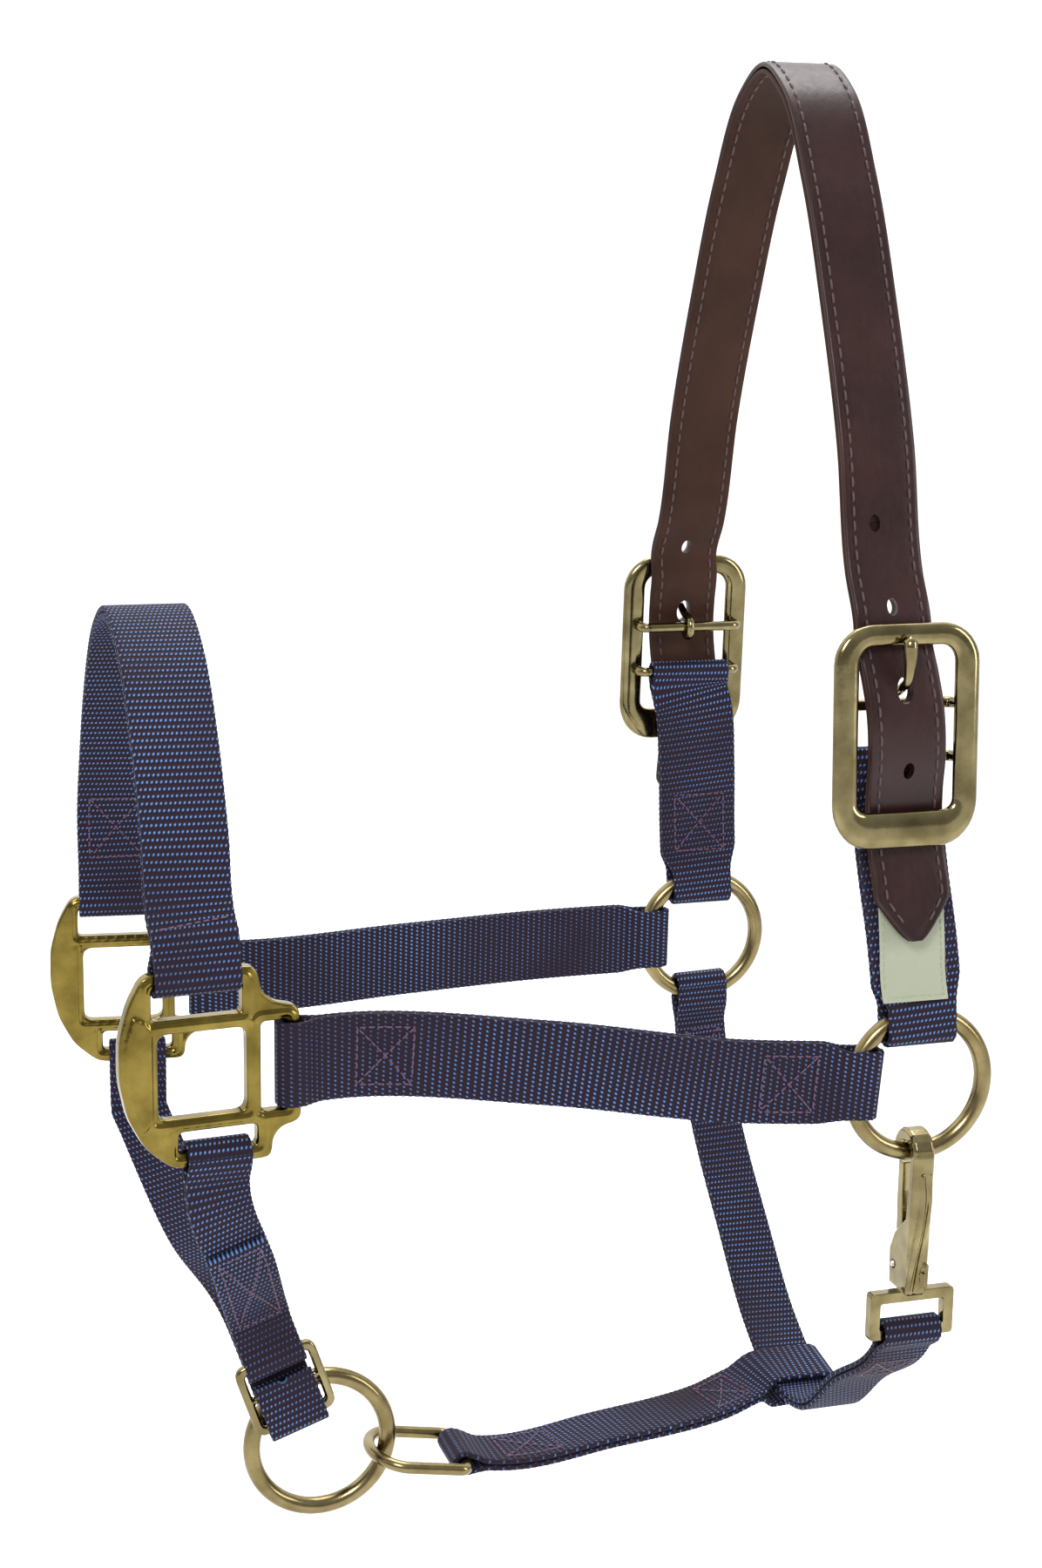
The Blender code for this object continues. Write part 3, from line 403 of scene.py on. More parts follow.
class Nodes:
    """A short way to write a material's node tree."""

    def __init__(self, name):
        self.material = bpy.data.materials.new(name)
        self.material.use_nodes = True
        self.tree = self.material.node_tree
        self.shader = self.tree.nodes["Principled BSDF"]

    def set(self, **values):
        for socket, value in values.items():
            self.shader.inputs[socket.replace("_", " ")].default_value = value

    def add(self, kind, **settings):
        node = self.tree.nodes.new(kind)
        for key, value in settings.items():
            setattr(node, key, value)
        return node

    def link(self, source, target):
        self.tree.links.new(source, target)

    def math(self, operation, a, b=None):
        node = self.add("ShaderNodeMath", operation=operation)
        for socket, value in zip(node.inputs, (a, b)):
            if hasattr(value, "links"):
                self.link(value, socket)
            elif value is not None:
                socket.default_value = value
        return node.outputs[0]

    def noise(self, scale, detail=3.0, stretch=None):
        """Noise on the piece's own coordinates, its scale in cycles per metre."""
        place = self.add("ShaderNodeTexCoord").outputs["Object"]
        if stretch:
            mapping = self.add("ShaderNodeMapping")
            mapping.inputs["Scale"].default_value = stretch
            self.link(place, mapping.inputs["Vector"])
            place = mapping.outputs["Vector"]
        texture = self.add("ShaderNodeTexNoise")
        texture.inputs["Scale"].default_value = scale
        texture.inputs["Detail"].default_value = detail
        self.link(place, texture.inputs["Vector"])
        return texture.outputs["Fac"]

    def ramp(self, value, *stops):
        node = self.add("ShaderNodeValToRGB")
        ends = node.color_ramp.elements
        for k, (at, colour) in enumerate(stops):
            stop = ends[k] if k < 2 else ends.new(at)
            stop.position = at
            stop.color = (*colour, 1.0)
        self.link(value, node.inputs["Fac"])
        return node.outputs["Color"]

    def range(self, value, low, high, start=0.0):
        """The value, which runs from start to 1, as a share between low and high."""
        node = self.add("ShaderNodeMapRange")
        node.inputs["From Min"].default_value = start
        node.inputs["To Min"].default_value = low
        node.inputs["To Max"].default_value = high
        self.link(value, node.inputs["Value"])
        return node.outputs["Result"]

    def bump(self, height, depth, strength=1.0):
        node = self.add("ShaderNodeBump")
        node.inputs["Strength"].default_value = strength
        node.inputs["Distance"].default_value = depth
        self.link(height, node.inputs["Height"])
        self.link(node.outputs["Normal"], self.shader.inputs["Normal"])


def webbing_material(name, dark, light, shine):
    """Ribbed nylon: rows of small yarn loops whose tops are smoother, plus painted glints: the tops are
    painted the light colour in the base colour, a painted highlight standing in for the yarns' shine.
    """
    m = Nodes(name)
    uv = m.add("ShaderNodeUVMap", uv_map="strap").outputs["UV"]
    split = m.add("ShaderNodeSeparateXYZ")
    m.link(uv, split.inputs["Vector"])
    u = m.math("MULTIPLY", split.outputs["X"], UV_SPAN * 2 * math.pi / YARN)
    v = m.math("MULTIPLY", split.outputs["Y"], UV_SPAN * 2 * math.pi / ROW)
    slant = m.math("ADD", u, m.math("MULTIPLY", v, 0.5))
    yarns = m.range(m.math("COSINE", slant), 0.0, 1.0, start=-1.0)
    rows = m.range(m.math("COSINE", v), 0.0, 1.0, start=-1.0)
    tops = m.math("MULTIPLY", yarns, m.math("POWER", rows, 1.5))
    # painted glints: at the yarn tops, at random strength, the base colour runs from the dark colour to the
    # light one, a painted highlight
    painted_glints = m.math("MULTIPLY", m.math("POWER", tops, 2.6), m.range(m.noise(16.0), -0.9, 2.5))
    m.link(m.ramp(painted_glints, (0.05, dark), (0.85, light)), m.shader.inputs["Base Color"])
    m.link(m.range(tops, 0.70, 0.38), m.shader.inputs["Roughness"])
    m.set(Sheen_Weight=0.02, Sheen_Roughness=0.4, Specular_IOR_Level=shine)
    m.shader.inputs["Sheen Tint"].default_value = (0.45, 0.50, 0.85, 1.0)
    m.bump(tops, 0.00022, 0.9)
    return m.material


def leather_material(name, dark, light, rough, grain, shine):
    """Dyed leather: mottled colour, fine grain and a dull shine."""
    m = Nodes(name)
    mottle = m.noise(45.0, 4.0)
    m.link(m.ramp(mottle, (0.3, dark), (0.75, light)), m.shader.inputs["Base Color"])
    pores = m.noise(2600.0, 3.0)
    wrinkles = m.noise(420.0, 4.0, stretch=(1.0, 1.0, 0.45))
    height = m.math("ADD", m.math("MULTIPLY", pores, 0.45), wrinkles)
    m.bump(height, grain, 0.7)
    m.link(m.range(wrinkles, rough - 0.08, rough + 0.12), m.shader.inputs["Roughness"])
    m.set(Specular_IOR_Level=shine, Coat_Weight=0.2 * shine, Coat_Roughness=0.3)
    return m.material


def metal_material(name, deep, bright, rough, waves):
    """Brass with faint tarnish, slight handling wear and a softly uneven polish."""
    m = Nodes(name)
    m.set(Metallic=1.0)
    tarnish = m.noise(110.0, 5.0)
    m.link(m.ramp(tarnish, (0.32, deep), (0.72, bright)), m.shader.inputs["Base Color"])
    m.link(m.range(m.noise(700.0, 4.0), rough - 0.05, rough + 0.09), m.shader.inputs["Roughness"])
    m.bump(m.noise(330.0, 3.0), waves, 0.6)
    return m.material


def plain_material(name, colour, rough, metallic=0.0, weave=None):
    m = Nodes(name)
    m.set(Base_Color=(*colour, 1.0), Roughness=rough, Metallic=metallic)
    if weave:
        m.bump(m.noise(weave, 2.0), 0.00012, 0.8)
    return m.material


MATERIALS = {
    # the webbing's dark navy, and the light blue of its painted glints (painted highlight on the yarn tops)
    "webbing": webbing_material("navy_webbing", (0.014, 0.0080, 0.016), (0.10, 0.22, 0.50), 0.12),
    "leather": leather_material("crown_leather", (0.014, 0.0040, 0.0040), (0.027, 0.0085, 0.0080),
                                0.34, 0.00012, 0.24),
    "lining": leather_material("lining_leather", (0.024, 0.0095, 0.006), (0.042, 0.0180, 0.011),
                               0.52, 0.00016, 0.10),
    "brass": metal_material("cast_brass", (0.115, 0.084, 0.018), (0.23, 0.172, 0.041), 0.18, 0.00006),
    "ring_brass": metal_material("ring_brass", (0.14, 0.108, 0.047), (0.26, 0.208, 0.100), 0.20, 0.00004),
    "pale_brass": metal_material("pale_brass", (0.135, 0.108, 0.050), (0.27, 0.228, 0.114), 0.12, 0.00004),
    "steel": plain_material("pin_steel", (0.52, 0.50, 0.45), 0.3, 1.0),
    "leather_thread": plain_material("leather_thread", (0.050, 0.026, 0.026), 0.55),
    "web_thread": plain_material("web_thread", (0.085, 0.038, 0.075), 0.5),
    "label": plain_material("label_cloth", (0.29, 0.31, 0.23), 0.75, weave=2200.0),
    "label_thread": plain_material("label_thread", (0.30, 0.34, 0.22), 0.6),
}
SLOT_OF = {"ring_brass": "brass", "leather_thread": "leather", "web_thread": "webbing",
           "label_thread": "label"}
SLOT_OF.update({name: name for name in MATERIALS if name not in SLOT_OF})


# ---------------------------------------------------------------- meshes

def shell(name, points, faces):
    """A mesh from world points and faces, its faces turned outwards."""
    mesh = bpy.data.meshes.new(name)
    mesh.from_pydata(points, [], faces)
    bm = bmesh.new()
    bm.from_mesh(mesh)
    bmesh.ops.recalc_face_normals(bm, faces=bm.faces)
    bm.to_mesh(mesh)
    bm.free()
    return mesh


def add_mesh(name, points, faces, finish, node, uv=None, sharp=None, replaces=True):
    """A piece from points in millimetres and their faces, riding where its node rides."""
    mesh = shell(name, to_world(points).tolist(), faces)
    if uv is not None:
        layer = mesh.uv_layers.new(name="strap")
        corners = np.empty(len(mesh.loops), np.int32)
        mesh.loops.foreach_get("vertex_index", corners)
        layer.data.foreach_set("uv", np.asarray(uv, np.float32)[corners].ravel())
    mesh.shade_smooth()
    if sharp:
        mesh.set_sharp_from_angle(angle=math.radians(sharp))
    mesh.materials.append(MATERIALS[finish])
    piece = bpy.data.objects.new(name, mesh)
    bpy.context.collection.objects.link(piece)
    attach(piece, BODY_OF[node])
    if replaces:
        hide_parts(node)
    return piece


def circle(count):
    """Angles spaced evenly round a full turn."""
    return [2 * math.pi * k / count for k in range(count)]


def grid_faces(rows, columns, closed):
    """Quads between successive rows of a tube, and a cap at each end unless the rows close."""
    faces = []
    for i in range(rows if closed else rows - 1):
        a = i * columns
        b = ((i + 1) % rows) * columns
        for k in range(columns):
            n = (k + 1) % columns
            faces.append((a + k, a + n, b + n, b + k))
    if not closed:
        faces += [tuple(range(columns)), tuple(range((rows - 1) * columns, rows * columns))]
    return faces


def join(points, faces, more_points, more_faces):
    """Add another surface's points and faces to these lists."""
    faces += [tuple(index + len(points) for index in face) for face in more_faces]
    points += [tuple(p) for p in more_points]


def even_sections(centres, sides, widths, spacing, closed):
    """Even sections along a strap: centres, directions across and out, widths and distances."""
    centres = np.array([tuple(c) for c in centres], float)
    sides = np.array([tuple(s) for s in sides], float)
    widths = np.array(widths, float)
    if closed:
        centres = np.vstack([centres, centres[:1]])
        sides = np.vstack([sides, sides[:1]])
        widths = np.append(widths, widths[0])
    gone = np.concatenate([[0.0], np.cumsum(np.linalg.norm(np.diff(centres, axis=0), axis=1))])
    count = max(int(round(gone[-1] / spacing)), 4)
    at = np.linspace(0.0, gone[-1], count + 1)
    if closed:
        at = at[:-1]

    def along(values):
        return np.stack([np.interp(at, gone, values[:, k]) for k in range(3)], axis=1)
    centres = along(centres)
    sides = along(sides)
    widths = np.interp(at, gone, widths)
    travel = travel_of(centres, closed)
    sides -= travel * (sides * travel).sum(axis=1)[:, None]
    sides /= np.linalg.norm(sides, axis=1)[:, None]
    return centres, sides, np.cross(travel, sides), widths[:, None], at[:, None]


def travel_of(centres, closed):
    if closed:
        step = np.roll(centres, -1, axis=0) - np.roll(centres, 1, axis=0)
    else:
        step = np.gradient(centres, axis=0)
    return step / np.linalg.norm(step, axis=1)[:, None]


def section(columns, edge):
    """A flat section with round edges, in half widths: across, face and edge share of each point."""
    points = [(x, 1.0, 0.0) for x in np.linspace(-1.0, 1.0, columns)]
    turns = np.radians(np.linspace(90.0, -90.0, edge + 2)[1:-1])
    points += [(1.0, math.sin(a), math.cos(a)) for a in turns]
    points += [(x, -1.0, 0.0) for x in np.linspace(1.0, -1.0, columns)]
    points += [(-1.0, -math.sin(a), math.cos(a)) for a in turns]
    return np.array(points).T[:, None, :]


def swept(centres, sides, out, reach, thick):
    """The points this far across and out from each section's centre."""
    points = centres[:, None, :] + sides[:, None, :] * reach[..., None] + out[:, None, :] * thick[..., None]
    return points.reshape(-1, 3)


def woven(node, path, closed):
    """Sweep webbing along a path of (centre, across, width): rows stand proud and notch its edges."""
    centres, sides, out, widths, gone = even_sections(*zip(*path), SAMPLE, closed)
    across, face, edge = section(17, 3)
    half = LAYER / 2
    bulge = half * 0.6
    phase = np.where(face >= 0, 0.0, 0.5)
    rib = 0.5 + 0.5 * np.cos(2 * np.pi * (gone / ROW + phase))
    thick = (half - RIB * (1.0 - rib)) * face
    reach = (widths / 2 - bulge) * across + np.sign(across) * edge * (bulge - NOTCH * (1.0 - rib))
    uv = np.stack(np.broadcast_arrays(reach / UV_SPAN + 0.5, gone / UV_SPAN), axis=-1).reshape(-1, 2)
    points = swept(centres, sides, out, reach, thick)
    return add_mesh(node + "_woven", points, grid_faces(*reach.shape, closed), "webbing", node, uv=uv)


def loop_path(route, across, width, start_eye, end_eye, start_width=None):
    """The endless path of a doubled strap: its two layers, opened into an eye at each end.

    An eye is its radius and the length that keeps it; the strap may be narrower at its start.
    """
    start_width = start_width or width
    travel = directions(route)
    along = distances(route)
    faces = [step.cross(side).normalized() for step, side in zip(travel, across)]
    outer = []
    inner = []
    for point, face, side, done in zip(route, faces, across, along):
        wide = mix(start_width, width, ease((done - start_eye[1]) / EYE_TAPER))
        spread = LAYER_SHIFT
        for (radius, slot), gone in ((start_eye, done), (end_eye, along[-1] - done)):
            spread = max(spread, mix(radius, LAYER_SHIFT, ease((gone - slot) / EYE_TAPER)))
        outer.append((point + face * spread, side, wide))
        inner.append((point - face * spread, side, wide))

    def cap(end, ahead, radius, wide):
        turns = [math.radians(degrees) for degrees in range(12, 169, 12)]
        return [(route[end] + faces[end] * (radius * math.cos(a)) + ahead * (radius * math.sin(a)),
                 across[end], wide) for a in turns]
    far_cap = cap(-1, travel[-1], end_eye[0], width)
    near_cap = cap(0, -travel[0], start_eye[0], start_width)
    return outer + far_cap + inner[::-1] + near_cap[::-1]


def stretch_at(gone, done):
    """Which stretch of a route holds this distance, and the share of it that lies behind."""
    i = min(int(np.searchsorted(gone, done, side="right")) - 1, len(gone) - 2)
    return i, (done - gone[i]) / max(gone[i + 1] - gone[i], 1e-9)


def surface_point(route, across, done, x, flip, lift):
    """A point on the outside of a strap: done along it, x across it, lift off its middle line."""
    along = distances(route)
    i, share = stretch_at(along, min(max(done, 0.0), along[-1]))
    side = mix(across[i], across[i + 1], share).normalized()
    face = (route[i + 1] - route[i]).normalized().cross(side).normalized() * flip
    return mix(route[i], route[i + 1], share) + side * x + face * lift, face


def stitches(name, runs, pitch, radius, finish, node):
    """Thread that shows as short raised bars along runs of (point, face) and dips at each hole."""
    points = []
    faces = []
    angles = circle(6)
    stretch = 0.86    # of the pitch, for the places along a stitch; heights and sizes are in radii
    sink = 0.05
    shape = [(-0.46, -1.1, 0.35), (-0.40, -0.1, 0.8), (-0.2, 0.35, 1.0), (0.2, 0.35, 1.0),
             (0.40, -0.1, 0.8), (0.46, -1.1, 0.35)]
    for run in runs:
        where = [Vector(p) for p, _ in run]
        normals = [Vector(n) for _, n in run]
        gone = distances(where)
        for k in range(int(gone[-1] / pitch)):
            bar = []
            for along, height, size in shape:
                i, share = stretch_at(gone, (k + 0.5 + along * stretch) * pitch)
                normal = mix(normals[i], normals[i + 1], share).normalized()
                travel = (where[i + 1] - where[i]).normalized()
                other = travel.cross(normal).normalized()
                centre = mix(where[i], where[i + 1], share) + normal * (radius * (height - sink))
                bar += [centre + (other * math.cos(a) + normal * math.sin(a)) * (radius * size)
                        for a in angles]
            join(points, faces, bar, grid_faces(len(shape), len(angles), False))
    add_mesh(name, points, faces, finish, node, replaces=False)


def sew(name, runs, node):
    """The webbing's fine thread."""
    stitches(name + "_thread", runs, WEB_STITCH, FINE_THREAD, "web_thread", node)


def lines_on(route, across, corners, flip, lift=OUTSIDE):
    """A run of thread through corners of (done, x) on a strap, sampled finely."""
    run = []
    for (d0, x0), (d1, x1) in zip(corners, corners[1:]):
        steps = max(int(math.hypot(d1 - d0, x1 - x0) / 1.5), 1)
        for k in range(steps + (1 if (d1, x1) == corners[-1] else 0)):
            share = k / steps
            run.append(surface_point(route, across, mix(d0, d1, share), mix(x0, x1, share), flip, lift))
    return run


def boxes(route, across, half, spans, flips, lift=OUTSIDE):
    """The runs of box stitches with diagonals; a span below zero is measured from the strap's end."""
    total = distances(route)[-1]
    runs = []
    for flip in flips:
        for span in spans:
            low, high = [done + total if done < 0 else done for done in span]
            outline = [(low, -half), (high, -half), (high, half), (low, half), (low, -half)]
            for corners in (outline, [(low, -half), (high, half)], [(low, half), (high, -half)]):
                runs.append(lines_on(route, across, corners, flip, lift))
    return runs


# ---------------------------------------------------------------- leather crown

def crown_path():
    """The crown strap's middle line, directions across and widths, from the near tip to the far one."""
    near = crown_half_route(-1.0)
    far = crown_half_route(1.0)
    route = smooth_route(near[::-1] + far[1:], steps=12)
    along = distances(route)
    widths = [CROWN_WIDTH * tip_share(max(min(done, along[-1] - done), 0.0)) for done in along]
    return route, steady_across(route, Vector((1, 0, 0))), widths


def groove(edge, middle, depth, width):
    """How deep a pressed line is, for distances from the strap's edge."""
    return depth * np.exp(-((edge - middle) / width) ** 2)


def crown_layer(node, offset, finish):
    """One layer of leather: round edges, a creased line near each edge and the punched holes."""
    centres, sides, out, widths, _ = even_sections(*crown_path(), CROWN_SAMPLE, False)
    across, face, edge_share = section(25, 3)
    half = LAYER / 2
    bulge = half * 0.8
    reach = (widths / 2 - bulge) * across + np.sign(across) * edge_share * bulge
    edge = widths / 2 - np.abs(reach)
    crease = groove(edge, CREASE, depth=0.10, width=0.5)
    channel = groove(edge, STITCH_INSET, depth=0.14, width=0.6)
    soft = 0.16 * np.exp(-edge / 0.9)
    thick = (half - crease - channel - soft) * face
    points = swept(centres - out * offset, sides, out, reach, thick)
    strap = add_mesh(node + "_leather", points, grid_faces(*reach.shape, False), finish, node)
    through = (-14.0, 9.0)
    for sign in SIDES.values():
        place = buckle_place(sign)
        for k in range(-1, 3):
            height = TONGUE_HOLE + k * HOLE_PITCH
            radii = (2.5, 3.9) if k == 0 else (1.7, 2.5)
            punch(strap, place, (-CROWN_SKEW * height / HALF_BUCKLE, height - 0.2), radii, through)
    strap.data.shade_smooth()
    strap.data.set_sharp_from_angle(angle=math.radians(50))


def punch(strap, place, middle, radii, depths):
    """Cut one oval hole, whose middle and radii are in local x, z, between two depths."""
    points = []
    for depth in depths:
        for angle in circle(24):
            spot = (middle[0] + radii[0] * math.cos(angle), depth, middle[1] + radii[1] * math.sin(angle))
            points.append(world(place(Vector(spot))))
    tool = bpy.data.objects.new("punch", shell("punch", points, grid_faces(2, 24, False)))
    bpy.context.collection.objects.link(tool)
    cut = strap.modifiers.new("punch", "BOOLEAN")
    cut.operation = "DIFFERENCE"
    cut.solver = "EXACT"
    cut.object = tool
    graph = bpy.context.evaluated_depsgraph_get()
    result = bpy.data.meshes.new_from_object(strap.evaluated_get(graph))
    strap.modifiers.clear()
    strap.data = result
    bpy.data.objects.remove(tool)


def crown_stitching():
    """A row of thread near each edge, on the outside and on the lining, stopping short of both tips."""
    route, across, widths = crown_path()
    along = distances(route)
    margin = STITCH_INSET * 1.6
    for name, flip in (("outer", -1.0), ("lining", 1.0)):
        runs = []
        for row in (-1.0, 1.0):
            run = []
            for done, width in zip(along[::2], widths[::2]):
                if margin < done < along[-1] - margin:
                    inset = max(width / 2 - STITCH_INSET, 0.2)
                    run.append(surface_point(route, across, done, row * inset, flip, OUTSIDE - 0.1))
            runs.append(run)
        stitches("crown_" + name + "_thread", runs, STITCH, THREAD, "leather_thread", "crown_" + name)


# ---------------------------------------------------------------- webbing

def square_eye():
    """An eye round one of a square's bars."""
    return wrap_radius(math.hypot(SQUARE_BAR, SQUARE_THICK) / 2), 0.0


def outward_flip(route, across, sign):
    """+1 or -1, so that a strap's face points away from the middle."""
    i = len(route) // 2
    face = (route[i + 1] - route[i]).cross(across[i])
    return 1.0 if face.y * sign > 0 else -1.0


def cheek_strap(side, sign):
    """From the cheek ring to the square's rear bar."""
    place = square_place(sign)
    bar = place((SQUARE_REAR - SQUARE_BAR / 2, 0.0, 0.0))
    lead = place((SQUARE_REAR - SQUARE_BAR / 2 + 16.0, 0.0, 0.0))
    foot, slot = ring_foot(RING_EYE_CHEEK / 2 + 0.4)
    aim = Vector((bar.x, 0, bar.z)).normalized()
    ring_end = aim * foot + Vector((0, sign * RING_Y, 0))
    points = [ring_end, ring_end + aim * 14.0, ring_end + aim * 40.0 - Vector((0, sign * 1.2, 0))]
    middle = (points[-1] + lead) / 2 + Vector((0, sign * 1.0, 1.0 - sign))
    route = smooth_route(points + [middle, lead, bar], steps=15)
    across = steady_across(route, Vector((0, 0, 1)))
    ring_eye = (wrap_radius(RING_WIRE), slot)
    path = loop_path(route, across, WIDE_WEB, ring_eye, square_eye(), RING_EYE_CHEEK)
    woven(side + "_cheek_strap", path, True)
    flip = outward_flip(route, across, sign)
    runs = boxes(route, across, CHEEK_BOX, ((17.0, 34.0), (-36.0, -19.0)), (flip,))
    sew(side + "_cheek", runs, side + "_cheek_strap")


def noseband():
    """Over the nose, from one square's upper bar to the other's."""
    shape = ((70.5, 60.0), (61.0, 83.0), (47.0, 107.0), (28.0, 127.5))
    points = []
    for sign in SIDES.values():
        place = square_place(sign)
        rise = [place((NOSE_SHIFT, 0.0, h)) for h in (SQUARE_TOP - SQUARE_BAR / 2, 40.0)]
        half = rise + [Vector((NOSE_X, sign * y, z)) for y, z in shape]
        points += half if sign < 0 else [Vector((NOSE_X, 0.0, NOSE_TOP))] + half[::-1]
    route = smooth_route(points, steps=12)
    along = distances(route)
    total = along[-1]
    toe = math.radians(SQUARE_TOE)
    across = [square_to(in_plan(toe * (1 - 2 * done / total)), travel)
              for travel, done in zip(directions(route), along)]
    woven("noseband", loop_path(route, across, WIDE_WEB, square_eye(), square_eye()), True)
    flip = -1.0 if (route[1] - route[0]).cross(across[0]).y > 0 else 1.0
    runs = [lines_on(route, across, [(start, -10.5), (start + 1.6, 10.5)], flip)
            for start in (14.0, total - 15.6)]
    runs += boxes(route, across, NOSE_BOX, ((16.0, 38.0), (-38.0, -16.0)), (-flip,))
    sew("noseband", runs, "noseband")


def tab(side, sign):
    """From the cheek ring up to the buckle's lower crossbar."""
    route = tab_route(sign)
    slot = ring_foot(RING_EYE_TAB / 2 + 1.0)[1]
    across = [Vector((1, 0, 0))] * len(route)
    ring_eye = (wrap_radius(RING_WIRE), slot)
    path = loop_path(route, across, TAB_WEB, ring_eye, (wrap_radius(CROSSBAR_RADIUS), 0.0), RING_EYE_TAB)
    woven(side + "_tab", path, True)
    flip = outward_flip(route, across, sign)
    seam = distances(route)[-1] - 16.0
    runs = [lines_on(route, across, [(seam, -10.0), (seam, 10.0)], flip)]
    runs += boxes(route, across, TAB_BOX, ((16.0, 38.0),), (flip, -flip))
    sew(side + "_tab", runs, side + "_tab")


# ---------------------------------------------------------------- chin

def near_chin():
    """The near chin strap, and the layer stitched over its lower part."""
    route, across = near_chin_route()
    path = loop_path(route, across, NARROW_WEB, square_eye(), (wrap_radius(SLIDE_WRAP), 0.0))
    woven("near_chin_strap", path, True)
    along = distances(route)
    start = along[-1] * 0.34
    end = along[-1] - 16.0
    shift = LAYER * 1.5 + GAP * 1.5 + OVERLAY_SLACK
    overlay = []
    for point, step, side, done in zip(route, directions(route), across, along):
        if start <= done <= end:
            face = step.cross(side).normalized()
            outwards = face if face.y < 0 else -face
            overlay.append((point + outwards * shift, side, NARROW_WEB))
    woven("near_chin_overlay", overlay, False)
    flip = outward_flip(route, across, -1.0)
    runs = boxes(route, across, NARROW_BOX, ((start + 3.0, -19.0),), (flip,), shift + LAYER / 2)
    sew("near_chin", runs, "near_chin_overlay")


def far_chin():
    """One layer: through the slide, round the chin ring, up to the far square and back."""
    slide_at = slide_place()
    square_at = square_place(1.0)
    over = wrap_radius(SLIDE_FACE + SLIDE_THICK / 2)
    middle = (SLIDE_LOW + SLIDE_HIGH) / 2
    snug = wrap_radius(RING_WIRE)
    foot = SLIDE_LOW - GAP - LAYER / 2
    fold = [(SLIDE_HIGH - SLIDE_BAR - 5.0, over - 0.2), (middle, over + 0.2), (SLIDE_LOW + 2.0, over + 0.2),
            (SLIDE_LOW - 0.4, over - 0.2), (foot - 0.7, over - 1.8), (foot - 0.8, SLIDE_FACE - 1.6),
            (foot - 1.0, 1.5), (foot - 0.4, -1.4), (foot + 1.0, -snug + 0.1), (foot + 3.6, -snug - 0.4),
            (RING_RADIUS + 6.0, -snug - 0.6), (RING_RADIUS + 24.0, -snug - 8.0)]
    points = [slide_at((0.0, y, z)) for z, y in fold]
    steps = 10
    leaves_ring = (len(points) - 2) * steps
    down = square_at((CHIN_SHIFT, -3.0, -44.0))
    points += [mix(points[-1], down, 0.45) + Vector((0, 6.0, -8.0)), down]
    route = smooth_route(points, steps)
    along = distances(route)
    held = along[leaves_ring]
    free = along[-1]
    reach = square_eye()[0]
    bar = SQUARE_LOW + SQUARE_BAR / 2
    turns = [math.radians(degrees) for degrees in range(180, -1, -15)]
    wrap = [(-3.3, -36.0)] + [(reach * math.cos(a), bar + reach * math.sin(a)) for a in turns]
    wrap += [(reach * 0.55, -34.0), (-0.4, -44.0)]
    route += [square_at((CHIN_SHIFT, y, z)) for y, z in wrap]
    first = slide_axes()[1]
    last = in_plan(math.radians(-SQUARE_TOE))
    path = []
    for point, travel, done in zip(route, directions(route), distances(route)):
        side = first.lerp(last, ease((done - held) / (free - held)))
        path.append((point, square_to(side, travel), NARROW_WEB))
    strap = woven("far_chin_strap", path, False)
    punch(strap, slide_at, (0.0, middle + 4.2), (1.3, 1.3), (SLIDE_FACE + 1.0, SLIDE_FACE + 8.0))


# ---------------------------------------------------------------- jaw and throat

def jaw_strap():
    """From the link to the loop that holds the throat strap."""
    ahead, side = link_axes()
    bar = link_start() + ahead * LINK_REACH
    rear = Vector(throat_points()[5])
    lead = bar + ahead * 12.0
    sag = Vector((0, 0, -2.0))
    points = [bar, lead, mix(lead, rear, 0.35) + sag, mix(lead, rear, 0.7) + sag,
              rear - Vector((14.0, 0.0, 0.5)), rear + Vector((LOOP_END, 0.0, 0.0))]
    route = smooth_route(points, steps=15)
    across = turning_across(route, side, throat_across_jaw())
    loop = (LAYER * 1.5 + GAP * 1.5 + 1.8, LOOP_END + NARROW_WEB / 2 + 1.5)
    path = loop_path(route, across, NARROW_WEB, (wrap_radius(LINK_WIRE), 0.0), loop)
    woven("jaw_strap", path, True)
    sew("jaw", boxes(route, across, NARROW_BOX, ((14.0, 34.0), (-46.0, -31.0)), (1.0, -1.0)), "jaw_strap")


def throat_strap():
    """From the far cheek ring, under the jaw, to the snap's eye."""
    foot, slot = ring_foot(NARROW_WEB / 2)
    points = [Vector(p) for p in throat_points()]
    points[0] = Vector((0.0, RING_Y, -foot))
    eye = snap_place((0.0, SNAP_EYE_Y, SNAP_EYE_Z))
    points += [eye + Vector((0.0, 7.0, -10.0)), eye]
    route = smooth_route(points, steps=15)
    across = steady_across(route, Vector((1, 0, 0)))
    ring_eye = (wrap_radius(RING_WIRE), slot)
    snap_eye = (wrap_radius(SNAP_EYE_BAR / 2 * 1.414), 0.0)
    woven("throat_strap", loop_path(route, across, NARROW_WEB, ring_eye, snap_eye), True)
    runs = boxes(route, across, NARROW_BOX, ((17.0, 34.0), (-32.0, -15.0)), (1.0, -1.0))
    sew("throat", runs, "throat_strap")


# ---------------------------------------------------------------- label

